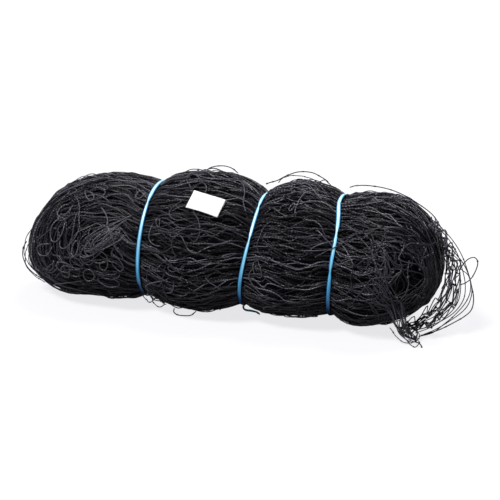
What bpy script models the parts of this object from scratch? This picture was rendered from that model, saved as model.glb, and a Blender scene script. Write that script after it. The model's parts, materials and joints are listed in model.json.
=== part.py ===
"""Bundle of knotted tennis netting, tied at three waists into four soft lobes.

The bundle lies on a floor along X, its left end at -X, with the front towards -Y.
Lobe 2 is the root.  Lobes 1, 3 and 4 bend about vertical axes at the waists, and a
folded paper label swings on the twine that it hangs from.
"""

import math

import bmesh
import bpy
from mathutils import Matrix, Vector

# Driving dimensions, in metres, with angles in degrees.
TWINE_DIAMETER = 0.0016
TIE_WIDTH = 0.0065
TIE_THICKNESS = 0.0008
TAIL_DIAMETER = 0.0034
LABEL_LENGTH = 0.050
LABEL_WIDTH = 0.030
PAPER_THICKNESS = 0.0006
GAP = 0.0003

# The bundle bends at each waist until the shoulders of two lobes meet.
BEND_LIMIT = 10.0
BEND_CLEARANCE = BEND_LIMIT + 2.5
RIDGE_GAP = 0.0012
NECK_LENGTH = 0.010

# Where each tie draws the bundle in: place along X, half its depth in Y, the heights
# of its underside and top, and how far it leans along X for each metre of height.
WAISTS = (
    {"x": -0.115, "half": 0.086, "low": 0.010, "high": 0.181, "lean": 0.06},
    {"x": 0.039, "half": 0.086, "low": 0.012, "high": 0.176, "lean": 0.17},
    {"x": 0.168, "half": 0.085, "low": 0.010, "high": 0.184, "lean": 0.02},
)

# The fullest oval of each lobe.  Where its underside reaches below the floor, the
# belly is cut flat there and rests on it; lobe 3 is carried by its neighbours.
BELLIES = (
    {"half": 0.096, "low": -0.003, "high": 0.184},
    {"half": 0.105, "low": -0.005, "high": 0.201},
    {"half": 0.101, "low": 0.003, "high": 0.199},
    {"half": 0.098, "low": -0.004, "high": 0.189},
)
BULGE_POWER = 0.55

# The rounded ends: place along X, height of the nose, and how far the rounding reaches.
LEFT_NOSE = {"x": -0.314, "height": 0.082, "reach": 0.115}
RIGHT_NOSE = {"x": 0.3155, "height": 0.066, "reach": 0.085}

# The lobes' surfaces: how far a shoulder takes to swell, and how the loft is divided.
SHOULDER_LENGTH = 0.060
NOSE_FLAT = 0.0008
RING_POINTS = 40
LOBE_STATIONS = 14

# Each tie's knot: its place round the neck, counted from the back (+Y) up over the top,
# and its size along X, round the neck and away from it.
KNOT_ANGLES = (20.0, 275.0, 20.0)
KNOT_SIZE = (0.009, 0.011, 0.0065)

# The label on lobe 2: its place along X, its height round the front as an angle above
# the horizontal, its turn in the surface, and how far its twine stands off the netting.
LABEL_X = -0.029
LABEL_ANGLE = 51.0
LABEL_TURN = 12.0
LABEL_LIFT = 0.0026
LABEL_FLAP = 0.008
FOLD_RADIUS = 0.0018
FOLD_STEPS = 10

# Routes of the ties' tails.  Those of the outer ties hang down the back; those of the
# middle tie lie on the floor under its waist.
TIE_TAILS = {
    "tie_1_tail_left": (
        (-0.1162, 0.0900, 0.1163),
        (-0.1178, 0.0935, 0.1050),
        (-0.1190, 0.0940, 0.0870),
        (-0.1185, 0.0930, 0.0710),
        (-0.1175, 0.0945, 0.0550),
    ),
    "tie_1_tail_right": (
        (-0.1110, 0.0900, 0.1163),
        (-0.1112, 0.0945, 0.1030),
        (-0.1122, 0.0965, 0.0850),
        (-0.1130, 0.0945, 0.0690),
        (-0.1122, 0.0960, 0.0470),
    ),
    "tie_2_tail_front": (
        (0.0230, 0.0000, 0.0062),
        (0.0215, -0.0085, 0.0030),
        (0.0270, -0.0165, 0.0018),
        (0.0360, -0.0175, 0.0018),
        (0.0450, -0.0200, 0.0018),
        (0.0520, -0.0270, 0.0018),
    ),
    "tie_2_tail_back": (
        (0.0255, 0.0158, 0.0066),
        (0.0258, 0.0225, 0.0030),
        (0.0245, 0.0320, 0.0018),
        (0.0270, 0.0430, 0.0018),
        (0.0255, 0.0540, 0.0018),
    ),
    "tie_3_tail_left": (
        (0.1660, 0.0895, 0.1168),
        (0.1656, 0.0935, 0.1040),
        (0.1650, 0.0945, 0.0860),
        (0.1655, 0.0935, 0.0700),
        (0.1648, 0.0950, 0.0520),
    ),
    "tie_3_tail_right": (
        (0.1710, 0.0895, 0.1168),
        (0.1715, 0.0945, 0.1040),
        (0.1712, 0.0960, 0.0880),
        (0.1705, 0.0945, 0.0730),
        (0.1710, 0.0955, 0.0600),
    ),
}

# Routes of the strands of the net that stand away from the lobes.
LOOSE_TWINE = {
    "loose_twine_left": (
        (-0.3125, -0.0310, 0.0810),
        (-0.3185, -0.0312, 0.0700),
        (-0.3200, -0.0313, 0.0575),
        (-0.3170, -0.0312, 0.0460),
        (-0.3110, -0.0311, 0.0365),
        (-0.3012, -0.0310, 0.0285),
        (-0.2885, -0.0309, 0.0220),
        (-0.2765, -0.0308, 0.0165),
    ),
    "loose_twine_top_2": (
        (-0.0430, 0.0310, 0.2005),
        (-0.0363, 0.0312, 0.2035),
        (-0.0278, 0.0314, 0.2056),
        (-0.0163, 0.0314, 0.2061),
        (-0.0056, 0.0312, 0.2030),
        (0.0021, 0.0310, 0.1970),
    ),
    "loose_twine_floor_2": (
        (-0.0740, -0.0460, 0.0042),
        (-0.0720, -0.0540, 0.0022),
        (-0.0650, -0.0600, 0.0010),
        (-0.0540, -0.0610, 0.0010),
        (-0.0450, -0.0570, 0.0010),
        (-0.0420, -0.0490, 0.0022),
        (-0.0420, -0.0420, 0.0013),
    ),
    "loose_twine_top_3": (
        (0.0437, 0.0350, 0.1830),
        (0.0520, 0.0352, 0.1865),
        (0.0612, 0.0353, 0.1900),
        (0.0723, 0.0353, 0.1970),
        (0.0812, 0.0352, 0.2015),
        (0.0917, 0.0352, 0.2054),
        (0.1036, 0.0352, 0.2068),
        (0.1144, 0.0352, 0.2058),
        (0.1231, 0.0352, 0.2023),
        (0.1306, 0.0351, 0.1985),
        (0.1370, 0.0350, 0.1945),
    ),
    "loose_twine_top_4": (
        (0.1700, 0.0300, 0.1905),
        (0.1800, 0.0301, 0.1940),
        (0.1996, 0.0302, 0.1955),
        (0.2259, 0.0302, 0.1930),
        (0.2508, 0.0302, 0.1850),
        (0.2740, 0.0301, 0.1725),
        (0.2925, 0.0300, 0.1590),
        (0.3055, 0.0298, 0.1405),
    ),
    "loose_twine_right_outer": (
        (0.3150, -0.0215, 0.1452),
        (0.3232, -0.0215, 0.1353),
        (0.3336, -0.0215, 0.1237),
        (0.3448, -0.0216, 0.1106),
        (0.3529, -0.0216, 0.0953),
        (0.3584, -0.0217, 0.0778),
        (0.3622, -0.0217, 0.0593),
        (0.3601, -0.0218, 0.0423),
        (0.3501, -0.0220, 0.0303),
        (0.3336, -0.0225, 0.0180),
        (0.3170, -0.0240, 0.0075),
        (0.3010, -0.0285, 0.0013),
        (0.2925, -0.0370, 0.0010),
    ),
    "loose_twine_right_inner": (
        (0.3389, -0.0100, 0.0948),
        (0.3434, -0.0101, 0.1043),
        (0.3506, -0.0102, 0.1134),
        (0.3590, -0.0102, 0.1165),
        (0.3638, -0.0102, 0.1103),
        (0.3622, -0.0101, 0.0988),
        (0.3563, -0.0101, 0.0853),
        (0.3485, -0.0100, 0.0772),
        (0.3407, -0.0100, 0.0733),
    ),
    "loose_twine_right_front": (
        (0.2600, -0.0680, 0.0290),
        (0.2665, -0.0680, 0.0200),
        (0.2715, -0.0660, 0.0125),
        (0.2775, -0.0620, 0.0060),
        (0.2850, -0.0550, 0.0026),
        (0.2893, -0.0520, 0.0056),
        (0.2885, -0.0500, 0.0118),
        (0.2850, -0.0490, 0.0170),
    ),
    "loose_twine_right_end": (
        (0.2790, -0.0630, 0.0040),
        (0.2850, -0.0620, 0.0013),
        (0.2905, -0.0630, 0.0010),
        (0.2955, -0.0665, 0.0010),
        (0.2988, -0.0725, 0.0010),
        (0.3008, -0.0785, 0.0010),
    ),
}


def clear_scene():
    """Remove every object that the scene holds."""
    for obj in list(bpy.data.objects):
        bpy.data.objects.remove(obj, do_unlink=True)


def make_material(name, color, roughness):
    """Return a plain non-metallic Principled material."""
    material = bpy.data.materials.new(name)
    material.use_nodes = True
    shader = material.node_tree.nodes["Principled BSDF"]
    shader.inputs["Base Color"].default_value = (*color, 1.0)
    shader.inputs["Roughness"].default_value = roughness
    shader.inputs["Metallic"].default_value = 0.0
    return material


def link_mesh(name, bm, material, origin=Vector((0.0, 0.0, 0.0))):
    """Turn a bmesh into a smooth-shaded object whose origin is at the given point."""
    bmesh.ops.recalc_face_normals(bm, faces=bm.faces)
    if bm.calc_volume(signed=True) < 0.0:
        bmesh.ops.reverse_faces(bm, faces=bm.faces)
    bm.transform(Matrix.Translation(-origin))
    mesh = bpy.data.meshes.new(name)
    bm.to_mesh(mesh)
    bm.free()
    mesh.materials.append(material)
    mesh.shade_smooth()
    mesh.set_sharp_from_angle(angle=math.radians(40.0))
    obj = bpy.data.objects.new(name, mesh)
    obj.location = origin
    bpy.context.scene.collection.objects.link(obj)
    return obj


def mix(a, b, share):
    """Return the value that lies the given share of the way from a to b."""
    return a + (b - a) * share


def smooth_step(share):
    """Ease a share between 0 and 1, flat at both of its ends."""
    share = min(max(share, 0.0), 1.0)
    return share * share * (3.0 - 2.0 * share)


def section_ring(x, half, low, high, grow=0.0):
    """Return the points of one upright oval section, with its underside cut flat at z = 0."""
    middle = (low + high) / 2.0
    rise = (high - low) / 2.0 + grow
    reach = half + grow
    ring = []
    for index in range(RING_POINTS):
        angle = 2.0 * math.pi * index / RING_POINTS
        y = reach * math.cos(angle)
        z = middle + rise * math.sin(angle)
        ring.append(Vector((x, y, max(z, 0.0))))
    return ring


def add_ring(bm, ring):
    """Add one ring of points to a bmesh."""
    return [bm.verts.new(point) for point in ring]


def bridge(bm, first, second):
    """Join two rings of vertices with a band of faces."""
    count = len(first)
    for index in range(count):
        following = (index + 1) % count
        bm.faces.new((first[index], first[following], second[following], second[index]))


def waist_lean(x):
    """Return how far the bundle leans at x: each waist's own lean, eased in between."""
    if x <= WAISTS[0]["x"]:
        return WAISTS[0]["lean"]
    for left, right in zip(WAISTS, WAISTS[1:]):
        if x <= right["x"]:
            settled = 0.03
            span = right["x"] - left["x"] - 2.0 * settled
            share = smooth_step((x - left["x"] - settled) / span)
            return mix(left["lean"], right["lean"], share)
    return WAISTS[-1]["lean"]


def apply_lean(point):
    """Lean one point of the upright bundle along X, about its mid height."""
    mid_height = 0.095
    return Vector((point.x + waist_lean(point.x) * (point.z - mid_height), point.y, point.z))


def inner_edge(waist, side):
    """Return where a waist's neck ends, towards +X for side +1 or -X for side -1."""
    return waist["x"] + side * NECK_LENGTH / 2.0


def hinge_x(index):
    """Return where the bundle bends at a waist: the neck's face away from lobe 2."""
    return inner_edge(WAISTS[index], -1.0 if index == 0 else 1.0)


def lobe_section(index, x):
    """Return half depth, underside and top of lobe index where it crosses x."""
    belly = BELLIES[index]
    left = WAISTS[index - 1] if index > 0 else None
    right = WAISTS[index] if index < len(WAISTS) else None
    nose_scale = 1.0
    nose_height = 0.0
    if left and right:
        start = inner_edge(left, 1.0)
        share = (x - start) / (inner_edge(right, -1.0) - start)
        share = min(max(share, 0.0), 1.0)
        swell = math.sin(math.pi * share)
        waist = {key: mix(left[key], right[key], share) for key in ("half", "low", "high")}
    else:
        waist = right or left
        nose = LEFT_NOSE if right else RIGHT_NOSE
        edge = inner_edge(waist, -1.0 if right else 1.0)
        away = (edge - x) if right else (x - edge)
        swell = math.sin(0.5 * math.pi * min(max(away / SHOULDER_LENGTH, 0.0), 1.0))
        rounding = min(abs(x - nose["x"]) / nose["reach"], 1.0)
        nose_scale = math.sqrt(1.0 - (1.0 - rounding) ** 2)
        nose_height = nose["height"]
    bulge = swell ** BULGE_POWER
    half = mix(waist["half"], belly["half"], bulge) * nose_scale
    low = mix(nose_height, mix(waist["low"], belly["low"], swell), nose_scale)
    high = mix(nose_height, mix(waist["high"], belly["high"], bulge), nose_scale)
    return half, low, high


def lobe_stations(index):
    """Return the places along X of one lobe's sections, closer together at its ends."""
    start = LEFT_NOSE["x"] + NOSE_FLAT if index == 0 else inner_edge(WAISTS[index - 1], -1.0)
    end = RIGHT_NOSE["x"] - NOSE_FLAT if index == len(WAISTS) else inner_edge(WAISTS[index], 1.0)
    stations = []
    for step in range(LOBE_STATIONS + 1):
        share = step / LOBE_STATIONS
        eased = 0.5 - 0.5 * math.cos(math.pi * share)
        stations.append(mix(start, end, eased))
    for waist in WAISTS:
        for side in (-1.0, 1.0):
            edge = inner_edge(waist, side)
            if start < edge < end:
                stations.append(edge)
    return sorted(set(stations))


def cut_ridge(bm, x, outward):
    """Cut an end at x into two faces that slope back from an upright ridge at y = 0.

    outward is +1 where the lobe ends towards +X, and -1 where it ends towards -X.
    """
    slope = math.radians(BEND_CLEARANCE)
    for side in (-1.0, 1.0):
        normal = Vector((outward * math.cos(slope), side * math.sin(slope), 0.0))
        geometry = list(bm.verts) + list(bm.edges) + list(bm.faces)
        cut = bmesh.ops.bisect_plane(
            bm,
            geom=geometry,
            dist=1e-6,
            plane_co=Vector((x, 0.0, 0.0)),
            plane_no=normal,
            clear_outer=True,
        )
        edges = [item for item in cut["geom_cut"] if isinstance(item, bmesh.types.BMEdge)]
        bmesh.ops.contextual_create(bm, geom=edges)


def make_lobe(index, material):
    """Build one lobe of the netting as a lofted solid.

    Lobe 2 keeps the necks at both of its waists and lobe 3 the neck of the third one;
    the ends that bend against them are ridged.
    """
    bm = bmesh.new()
    rings = []
    for x in lobe_stations(index):
        rings.append(add_ring(bm, section_ring(x, *lobe_section(index, x))))
    for first, second in zip(rings, rings[1:]):
        bridge(bm, first, second)
    bm.faces.new(list(reversed(rings[0])))
    bm.faces.new(rings[-1])
    bmesh.ops.remove_doubles(bm, verts=bm.verts, dist=1e-6)
    if index == 0:
        cut_ridge(bm, hinge_x(0) - RIDGE_GAP, 1.0)
    if index >= 2:
        cut_ridge(bm, hinge_x(index - 1) + RIDGE_GAP, -1.0)
    for vert in bm.verts:
        vert.co = apply_lean(vert.co)
    origins = (hinge_x(0), 0.0, hinge_x(1), hinge_x(2))
    origin = Vector((origins[index], 0.0, 0.0))
    return link_mesh(f"net_lobe_{index + 1}", bm, material, origin)


def waist_ring(waist, x, grow):
    """Return the outline of a waist at x, grown outward by a distance and leaned."""
    ring = section_ring(x, waist["half"], waist["low"], waist["high"], grow)
    return [apply_lean(point) for point in ring]


def make_tie(index, material):
    """Build the flat band of one tie round its neck, just clear of the netting."""
    waist = WAISTS[index]
    inner = GAP
    outer = GAP + TIE_THICKNESS
    left = waist["x"] - TIE_WIDTH / 2.0
    right = waist["x"] + TIE_WIDTH / 2.0
    bm = bmesh.new()
    corners = ((left, inner), (left, outer), (right, outer), (right, inner))
    rings = [add_ring(bm, waist_ring(waist, x, grow)) for x, grow in corners]
    for first, second in zip(rings, rings[1:] + rings[:1]):
        bridge(bm, first, second)
    return link_mesh(f"tie_{index + 1}_band", bm, material)


def knot_place(index):
    """Return a tie's knot centre and the direction that it faces, away from the band."""
    waist = WAISTS[index]
    angle = math.radians(KNOT_ANGLES[index])
    middle = (waist["low"] + waist["high"]) / 2.0
    rise = (waist["high"] - waist["low"]) / 2.0
    outward = Vector((0.0, math.cos(angle) / waist["half"], math.sin(angle) / rise))
    outward.normalize()
    surface = Vector((waist["x"], waist["half"] * math.cos(angle), middle + rise * math.sin(angle)))
    lift = GAP + TIE_THICKNESS + GAP + KNOT_SIZE[2] / 2.0
    return apply_lean(surface) + outward * lift, outward


def make_knot(index, material):
    """Build one tie's knot as a small rounded block on its band."""
    center, outward = knot_place(index)
    along = Vector((0.0, -outward.z, outward.y))
    across = along.cross(outward)
    turn = Matrix((across, along, outward)).transposed().to_4x4()
    bm = bmesh.new()
    bmesh.ops.create_cube(bm, size=1.0)
    bmesh.ops.scale(bm, vec=KNOT_SIZE, verts=bm.verts)
    bmesh.ops.bevel(
        bm,
        geom=list(bm.edges),
        offset=KNOT_SIZE[2] * 0.3,
        segments=3,
        profile=0.5,
        affect="EDGES",
        clamp_overlap=True,
    )
    bm.transform(Matrix.Translation(center) @ turn)
    return link_mesh(f"tie_{index + 1}_knot", bm, material, center)


def smooth_route(points, spacing):
    """Return evenly spaced points on a smooth curve through the route's own points."""
    route = [Vector(point) for point in points]
    route = [2.0 * route[0] - route[1]] + route + [2.0 * route[-1] - route[-2]]
    fine = []
    steps = 24
    for a, b, c, d in zip(route, route[1:], route[2:], route[3:]):
        for step in range(steps):
            t = step / steps
            fine.append(
                0.5 * (2.0 * b + (c - a) * t + (2.0 * a - 5.0 * b + 4.0 * c - d) * t ** 2
                       + (3.0 * b - a - 3.0 * c + d) * t ** 3)
            )
    fine.append(route[-2].copy())
    lengths = [0.0]
    for a, b in zip(fine, fine[1:]):
        lengths.append(lengths[-1] + (b - a).length)
    count = max(2, round(lengths[-1] / spacing))
    even = []
    place = 0
    for step in range(count + 1):
        target = lengths[-1] * step / count
        while place < len(fine) - 2 and lengths[place + 1] < target:
            place += 1
        share = (target - lengths[place]) / (lengths[place + 1] - lengths[place])
        even.append(fine[place].lerp(fine[place + 1], share))
    return even


def make_cord(name, points, diameter, material):
    """Build one free length of cord as a round tube with filled ends."""
    curve = bpy.data.curves.new(name, "CURVE")
    curve.dimensions = "3D"
    curve.bevel_depth = diameter / 2.0
    curve.bevel_resolution = 2
    curve.use_fill_caps = True
    route = smooth_route(points, 2.6 * diameter)
    spline = curve.splines.new("POLY")
    spline.points.add(len(route) - 1)
    for point, place in zip(spline.points, route):
        point.co = (*place, 1.0)
    curve.materials.append(material)
    obj = bpy.data.objects.new(name, curve)
    bpy.context.scene.collection.objects.link(obj)
    return obj


def label_frame():
    """Return the label's pivot and its directions: along the twine, down the paper, out."""
    def surface(x, degrees):
        half, low, high = lobe_section(1, x)
        angle = math.radians(degrees)
        middle = (low + high) / 2.0
        rise = (high - low) / 2.0
        return apply_lean(Vector((x, -half * math.cos(angle), middle + rise * math.sin(angle))))

    place = surface(LABEL_X, LABEL_ANGLE)
    along = (surface(LABEL_X + 0.01, LABEL_ANGLE) - surface(LABEL_X - 0.01, LABEL_ANGLE)).normalized()
    up = (surface(LABEL_X, LABEL_ANGLE + 3.0) - surface(LABEL_X, LABEL_ANGLE - 3.0)).normalized()
    outward = along.cross(up).normalized()
    turn = Matrix.Rotation(math.radians(-LABEL_TURN), 3, outward)
    twine = (turn @ along).normalized()
    down = (turn @ -up).normalized()
    pivot = place + outward * LABEL_LIFT - down * (LABEL_WIDTH / 2.0 - FOLD_RADIUS)
    return pivot, twine, down, outward


def make_label(material):
    """Build the label: a paper strip folded back over the twine along its upper edge."""
    pivot, twine, down, outward = label_frame()
    outer = FOLD_RADIUS + PAPER_THICKNESS / 2.0
    inner = FOLD_RADIUS - PAPER_THICKNESS / 2.0
    profile = []
    for radius, order in ((outer, 1), (inner, -1)):
        arc = [(radius * math.sin(a), radius * math.cos(a))
               for a in (-math.pi * step / FOLD_STEPS for step in range(FOLD_STEPS + 1))]
        front_end = (LABEL_WIDTH - outer, radius)
        back_end = (LABEL_FLAP, -radius)
        run = [front_end] + arc + [back_end]
        profile += run[::order]
    bm = bmesh.new()
    ends = []
    for side in (-0.5, 0.5):
        ring = []
        for reach, lift in profile:
            point = pivot + twine * (side * LABEL_LENGTH) + down * reach + outward * lift
            ring.append(bm.verts.new(point))
        ends.append(ring)
    bridge(bm, ends[0], ends[1])
    bm.faces.new(list(reversed(ends[0])))
    bm.faces.new(ends[1])
    return link_mesh("label", bm, material, pivot)


def make_label_twine(material):
    """Build the strand of netting that the label's fold hangs on, dipping back at its ends."""
    pivot, twine, down, outward = label_frame()
    reach = LABEL_LENGTH / 2.0
    points = []
    for side, dip in ((-1.55, 0.0040), (-1.25, 0.0008), (-1.0, 0.0), (-0.4, 0.0),
                      (0.4, 0.0), (1.0, 0.0), (1.25, 0.0008), (1.55, 0.0040)):
        points.append(pivot + twine * (side * reach) - outward * dip)
    return make_cord("label_twine", points, TWINE_DIAMETER, material)


def main():
    """Build the whole bundle."""
    clear_scene()
    net_black = make_material("net_black", (0.018, 0.018, 0.022), 0.62)
    tie_blue = make_material("tie_blue", (0.18, 0.52, 0.72), 0.42)
    label_white = make_material("label_white", (0.88, 0.89, 0.90), 0.55)
    for index in range(len(BELLIES)):
        make_lobe(index, net_black)
    for index in range(len(WAISTS)):
        make_tie(index, tie_blue)
        make_knot(index, tie_blue)
    make_label(label_white)
    make_label_twine(net_black)
    for name, points in TIE_TAILS.items():
        make_cord(name, points, TAIL_DIAMETER, tie_blue)
    for name, points in LOOSE_TWINE.items():
        make_cord(name, points, TWINE_DIAMETER, net_black)


main()
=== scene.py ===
"""Looks of the bundle of tennis netting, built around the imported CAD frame."""
import json
import math

import bmesh
import bpy
import numpy as np
from mathutils import Matrix, Vector


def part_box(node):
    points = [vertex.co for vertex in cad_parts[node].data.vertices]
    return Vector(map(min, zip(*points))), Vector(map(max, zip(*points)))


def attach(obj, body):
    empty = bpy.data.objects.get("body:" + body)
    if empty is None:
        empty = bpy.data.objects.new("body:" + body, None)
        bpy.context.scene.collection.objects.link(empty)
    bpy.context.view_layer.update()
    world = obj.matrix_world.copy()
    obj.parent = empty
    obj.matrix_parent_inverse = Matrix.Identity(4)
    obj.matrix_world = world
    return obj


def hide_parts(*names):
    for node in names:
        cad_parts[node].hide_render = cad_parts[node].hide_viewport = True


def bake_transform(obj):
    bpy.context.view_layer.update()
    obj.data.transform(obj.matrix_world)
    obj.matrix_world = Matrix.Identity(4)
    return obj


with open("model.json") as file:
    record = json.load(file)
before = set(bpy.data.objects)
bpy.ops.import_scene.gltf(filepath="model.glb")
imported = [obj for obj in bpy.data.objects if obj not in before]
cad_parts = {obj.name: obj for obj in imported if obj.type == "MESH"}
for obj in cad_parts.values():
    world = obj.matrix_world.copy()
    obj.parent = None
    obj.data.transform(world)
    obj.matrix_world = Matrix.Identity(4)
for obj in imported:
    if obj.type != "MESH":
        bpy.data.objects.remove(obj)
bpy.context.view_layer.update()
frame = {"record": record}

# ---------------------------------------------------------------- driving values
TWINE = 0.0016
TAIL = 0.0034
BAND_SKIN = 0.0011
NECK = 0.010
BULGE_POWER = 0.55
SHOULDER = 0.050
MID_HEIGHT = 0.095
SEED = 7

# A bar is one side of the net's mesh.
BAR = 0.040
SAMPLE = 0.0046
SIDES = 5


# The lowest that a strand's middle line may lie above the floor.
STRAND_REST = TWINE * 0.55
# Stands for the missing fourth corner of a triangle.
NO_CORNER = -10 ** 8


def ease(value, low, high):
    """Return 0 below low and 1 above high, eased in between."""
    share = np.clip((value - low) / (high - low), 0.0, 1.0)
    return share * share * (3.0 - 2.0 * share)


def keep_off_floor(lines):
    """Raise the points of strands that would sink into the floor."""
    lines[..., 2] = np.maximum(lines[..., 2], STRAND_REST)


def corners(node):
    """Return a node's lowest and highest corners as arrays."""
    low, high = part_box(node)
    return np.array(low, float), np.array(high, float)


# ---------------------------------------------------------------- camera
def make_camera():
    """Place the camera at the photo's viewing angle, aimed a little below the middle."""
    azimuth = math.radians(16.0)
    elevation = math.radians(20.0)
    distance = 2.25
    metres_per_unit = 0.00147 * 500.0
    forward = Vector((
        -math.sin(azimuth) * math.cos(elevation),
        math.cos(azimuth) * math.cos(elevation),
        -math.sin(elevation),
    ))
    right = Vector((math.cos(azimuth), math.sin(azimuth), 0.0))
    up = right.cross(forward)
    target = Vector((0.014, 0.0, 0.100))
    place = target - forward * distance
    data = bpy.data.cameras.new("camera")
    camera = bpy.data.objects.new("camera", data)
    bpy.context.scene.collection.objects.link(camera)
    turn = Matrix((right, up, -forward)).transposed().to_4x4()
    camera.matrix_world = Matrix.Translation(place) @ turn
    data.sensor_width = 36.0
    data.lens = 36.0 * distance / metres_per_unit
    data.shift_x = 0.020
    data.shift_y = -0.014
    data.clip_start = 0.05
    bpy.context.scene.camera = camera


make_camera()


# ---------------------------------------------------------------- shape of the bundle
def waist_facts(index):
    """Return a waist's place, half depth, underside, top and lean, read from its tie."""
    low, high = corners(f"tie_{index + 1}_band")
    lean = (high[0] - low[0] - 0.0065) / (high[2] - low[2])
    return {
        "x": (low[0] + high[0]) / 2.0,
        "half": high[1] - BAND_SKIN,
        "low": low[2] + BAND_SKIN,
        "high": high[2] - BAND_SKIN,
        "lean": lean,
    }


WAISTS = [waist_facts(index) for index in range(3)]
for waist in WAISTS:
    offset = (waist["low"] + waist["high"]) / 2.0 - MID_HEIGHT
    waist["x"] -= waist["lean"] * offset
END_LEAN = WAISTS[2]["lean"]
WAISTS[1]["x"] += 0.003
WAISTS[2]["lean"] += 0.09
LOBES = [corners(f"net_lobe_{index + 1}") for index in range(4)]
LEFT_END = float(LOBES[0][0][0])
RIGHT_END = float(LOBES[3][1][0])
LEFT_NOSE = {"x": LEFT_END, "height": 0.060, "reach": 0.120, "under": 0.085}
RIGHT_NOSE = {"x": RIGHT_END, "height": 0.085, "reach": 0.085, "under": 0.140}


def profile_table():
    """Return stations along X with the half depth, underside and top of the netting."""
    xs = np.linspace(LEFT_NOSE["x"], RIGHT_NOSE["x"], 700)
    rows = []
    for x in xs:
        index = sum(x > waist["x"] for waist in WAISTS)
        belly_low = (0.001, -0.005, 0.003, -0.004)[index]
        belly_half = float(LOBES[index][1][1])
        belly_high = float(LOBES[index][1][2])
        scale = 1.0
        under = 1.0
        nose_height = 0.0
        if 0 < index < 3:
            left, right = WAISTS[index - 1], WAISTS[index]
            start = left["x"] + NECK / 2.0
            share = (x - start) / (right["x"] - NECK / 2.0 - start)
            share = min(max(share, 0.0), 1.0)
            swell = math.sin(math.pi * share)
            base = {k: left[k] + (right[k] - left[k]) * share for k in ("half", "low", "high")}
        else:
            base = WAISTS[0] if index == 0 else WAISTS[2]
            nose = LEFT_NOSE if index == 0 else RIGHT_NOSE
            away = abs(x - base["x"]) - NECK / 2.0
            swell = math.sin(0.5 * math.pi * min(max(away / SHOULDER, 0.0), 1.0))
            scale = math.sqrt(1.0 - (1.0 - min(abs(x - nose["x"]) / nose["reach"], 1.0)) ** 2)
            under = math.sqrt(1.0 - (1.0 - min(abs(x - nose["x"]) / nose["under"], 1.0)) ** 2)
            nose_height = nose["height"]
        bulge = swell ** BULGE_POWER
        half = (base["half"] + (belly_half - base["half"]) * bulge) * scale
        low = base["low"] + (belly_low - base["low"]) * swell
        high = base["high"] + (belly_high - base["high"]) * bulge
        low = nose_height + (low - nose_height) * under
        high = nose_height + (high - nose_height) * scale
        rows.append((half, low, high))
    return xs, np.array(rows)


PROFILE_X, PROFILE = profile_table()


def lean_at(x):
    """Return the lean along X, constant near each waist and eased in between."""
    lean = np.full(np.shape(x), WAISTS[0]["lean"])
    for left, right in zip(WAISTS, WAISTS[1:]):
        share = ease((x - left["x"] - 0.03) / (right["x"] - left["x"] - 0.06), 0.0, 1.0)
        lean = np.where(x > left["x"], left["lean"] + (right["lean"] - left["lean"]) * share, lean)
    share = ease((x - WAISTS[2]["x"] - 0.015) / 0.065, 0.0, 1.0)
    return lean + (END_LEAN - WAISTS[2]["lean"]) * share


def crook_at(x):
    """Return how far the tops of the waists are pulled back towards -X."""
    places = [waist["x"] for waist in WAISTS] + [WAISTS[2]["x"] + 0.06]
    return np.interp(x, places, (0.0, 0.0045, 0.0075, 0.0))


def crooked(x, z):
    """Return how far a point at x and height z moves along X with the lean and crook."""
    rise = np.clip((z - 0.125) / 0.055, 0.0, 1.2)
    crest = np.clip((z - 0.158) / 0.022, 0.0, 1.1)
    return lean_at(x) * (z - MID_HEIGHT) - crook_at(x) * (rise ** 2 + 0.45 * crest ** 2)


def surface(x, angle, inset):
    """Return points of the bundle's skin at x and an angle round it, sunk by inset.

    The angle runs from the back (+Y) over the top to the front (-Y).
    """
    half = np.interp(x, PROFILE_X, PROFILE[:, 0])
    low = np.interp(x, PROFILE_X, PROFILE[:, 1])
    high = np.interp(x, PROFILE_X, PROFILE[:, 2])
    reach = np.maximum(half - inset, 0.0015)
    rise = np.maximum((high - low) / 2.0 - inset, 0.0015)
    y = reach * np.cos(angle)
    z = (low + high) / 2.0 + rise * np.sin(angle)
    z = np.maximum(z, STRAND_REST)
    return np.stack([x + crooked(x, z), y, z], -1)


def near_waist(x, reach):
    """Return 1 at a waist, falling to 0 at the given distance from it."""
    closeness = np.zeros(np.shape(x))
    for waist in WAISTS:
        closeness = np.maximum(closeness, 1.0 - np.abs(x - waist["x"]) / reach)
    return ease(closeness, 0.0, 1.0)


# ---------------------------------------------------------------- smooth random fields
def ripple(rng, lengths_a, lengths_b, count=6):
    """Return a smooth random field of two coordinates, of about unit height."""
    ka = 2.0 * np.pi / rng.uniform(*lengths_a, count) * rng.choice((-1.0, 1.0), count)
    kb = 2.0 * np.pi / rng.uniform(*lengths_b, count)
    phase = rng.uniform(0.0, 2.0 * np.pi, count)
    weight = rng.uniform(0.6, 1.0, count)
    weight /= np.sqrt(0.5 * (weight ** 2).sum())

    def field(a, b):
        """Return the sum of the waves at a and b."""
        total = np.zeros(np.broadcast(a, b).shape)
        for index in range(count):
            total += weight[index] * np.sin(ka[index] * a + kb[index] * b + phase[index])
        return total

    return field


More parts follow.
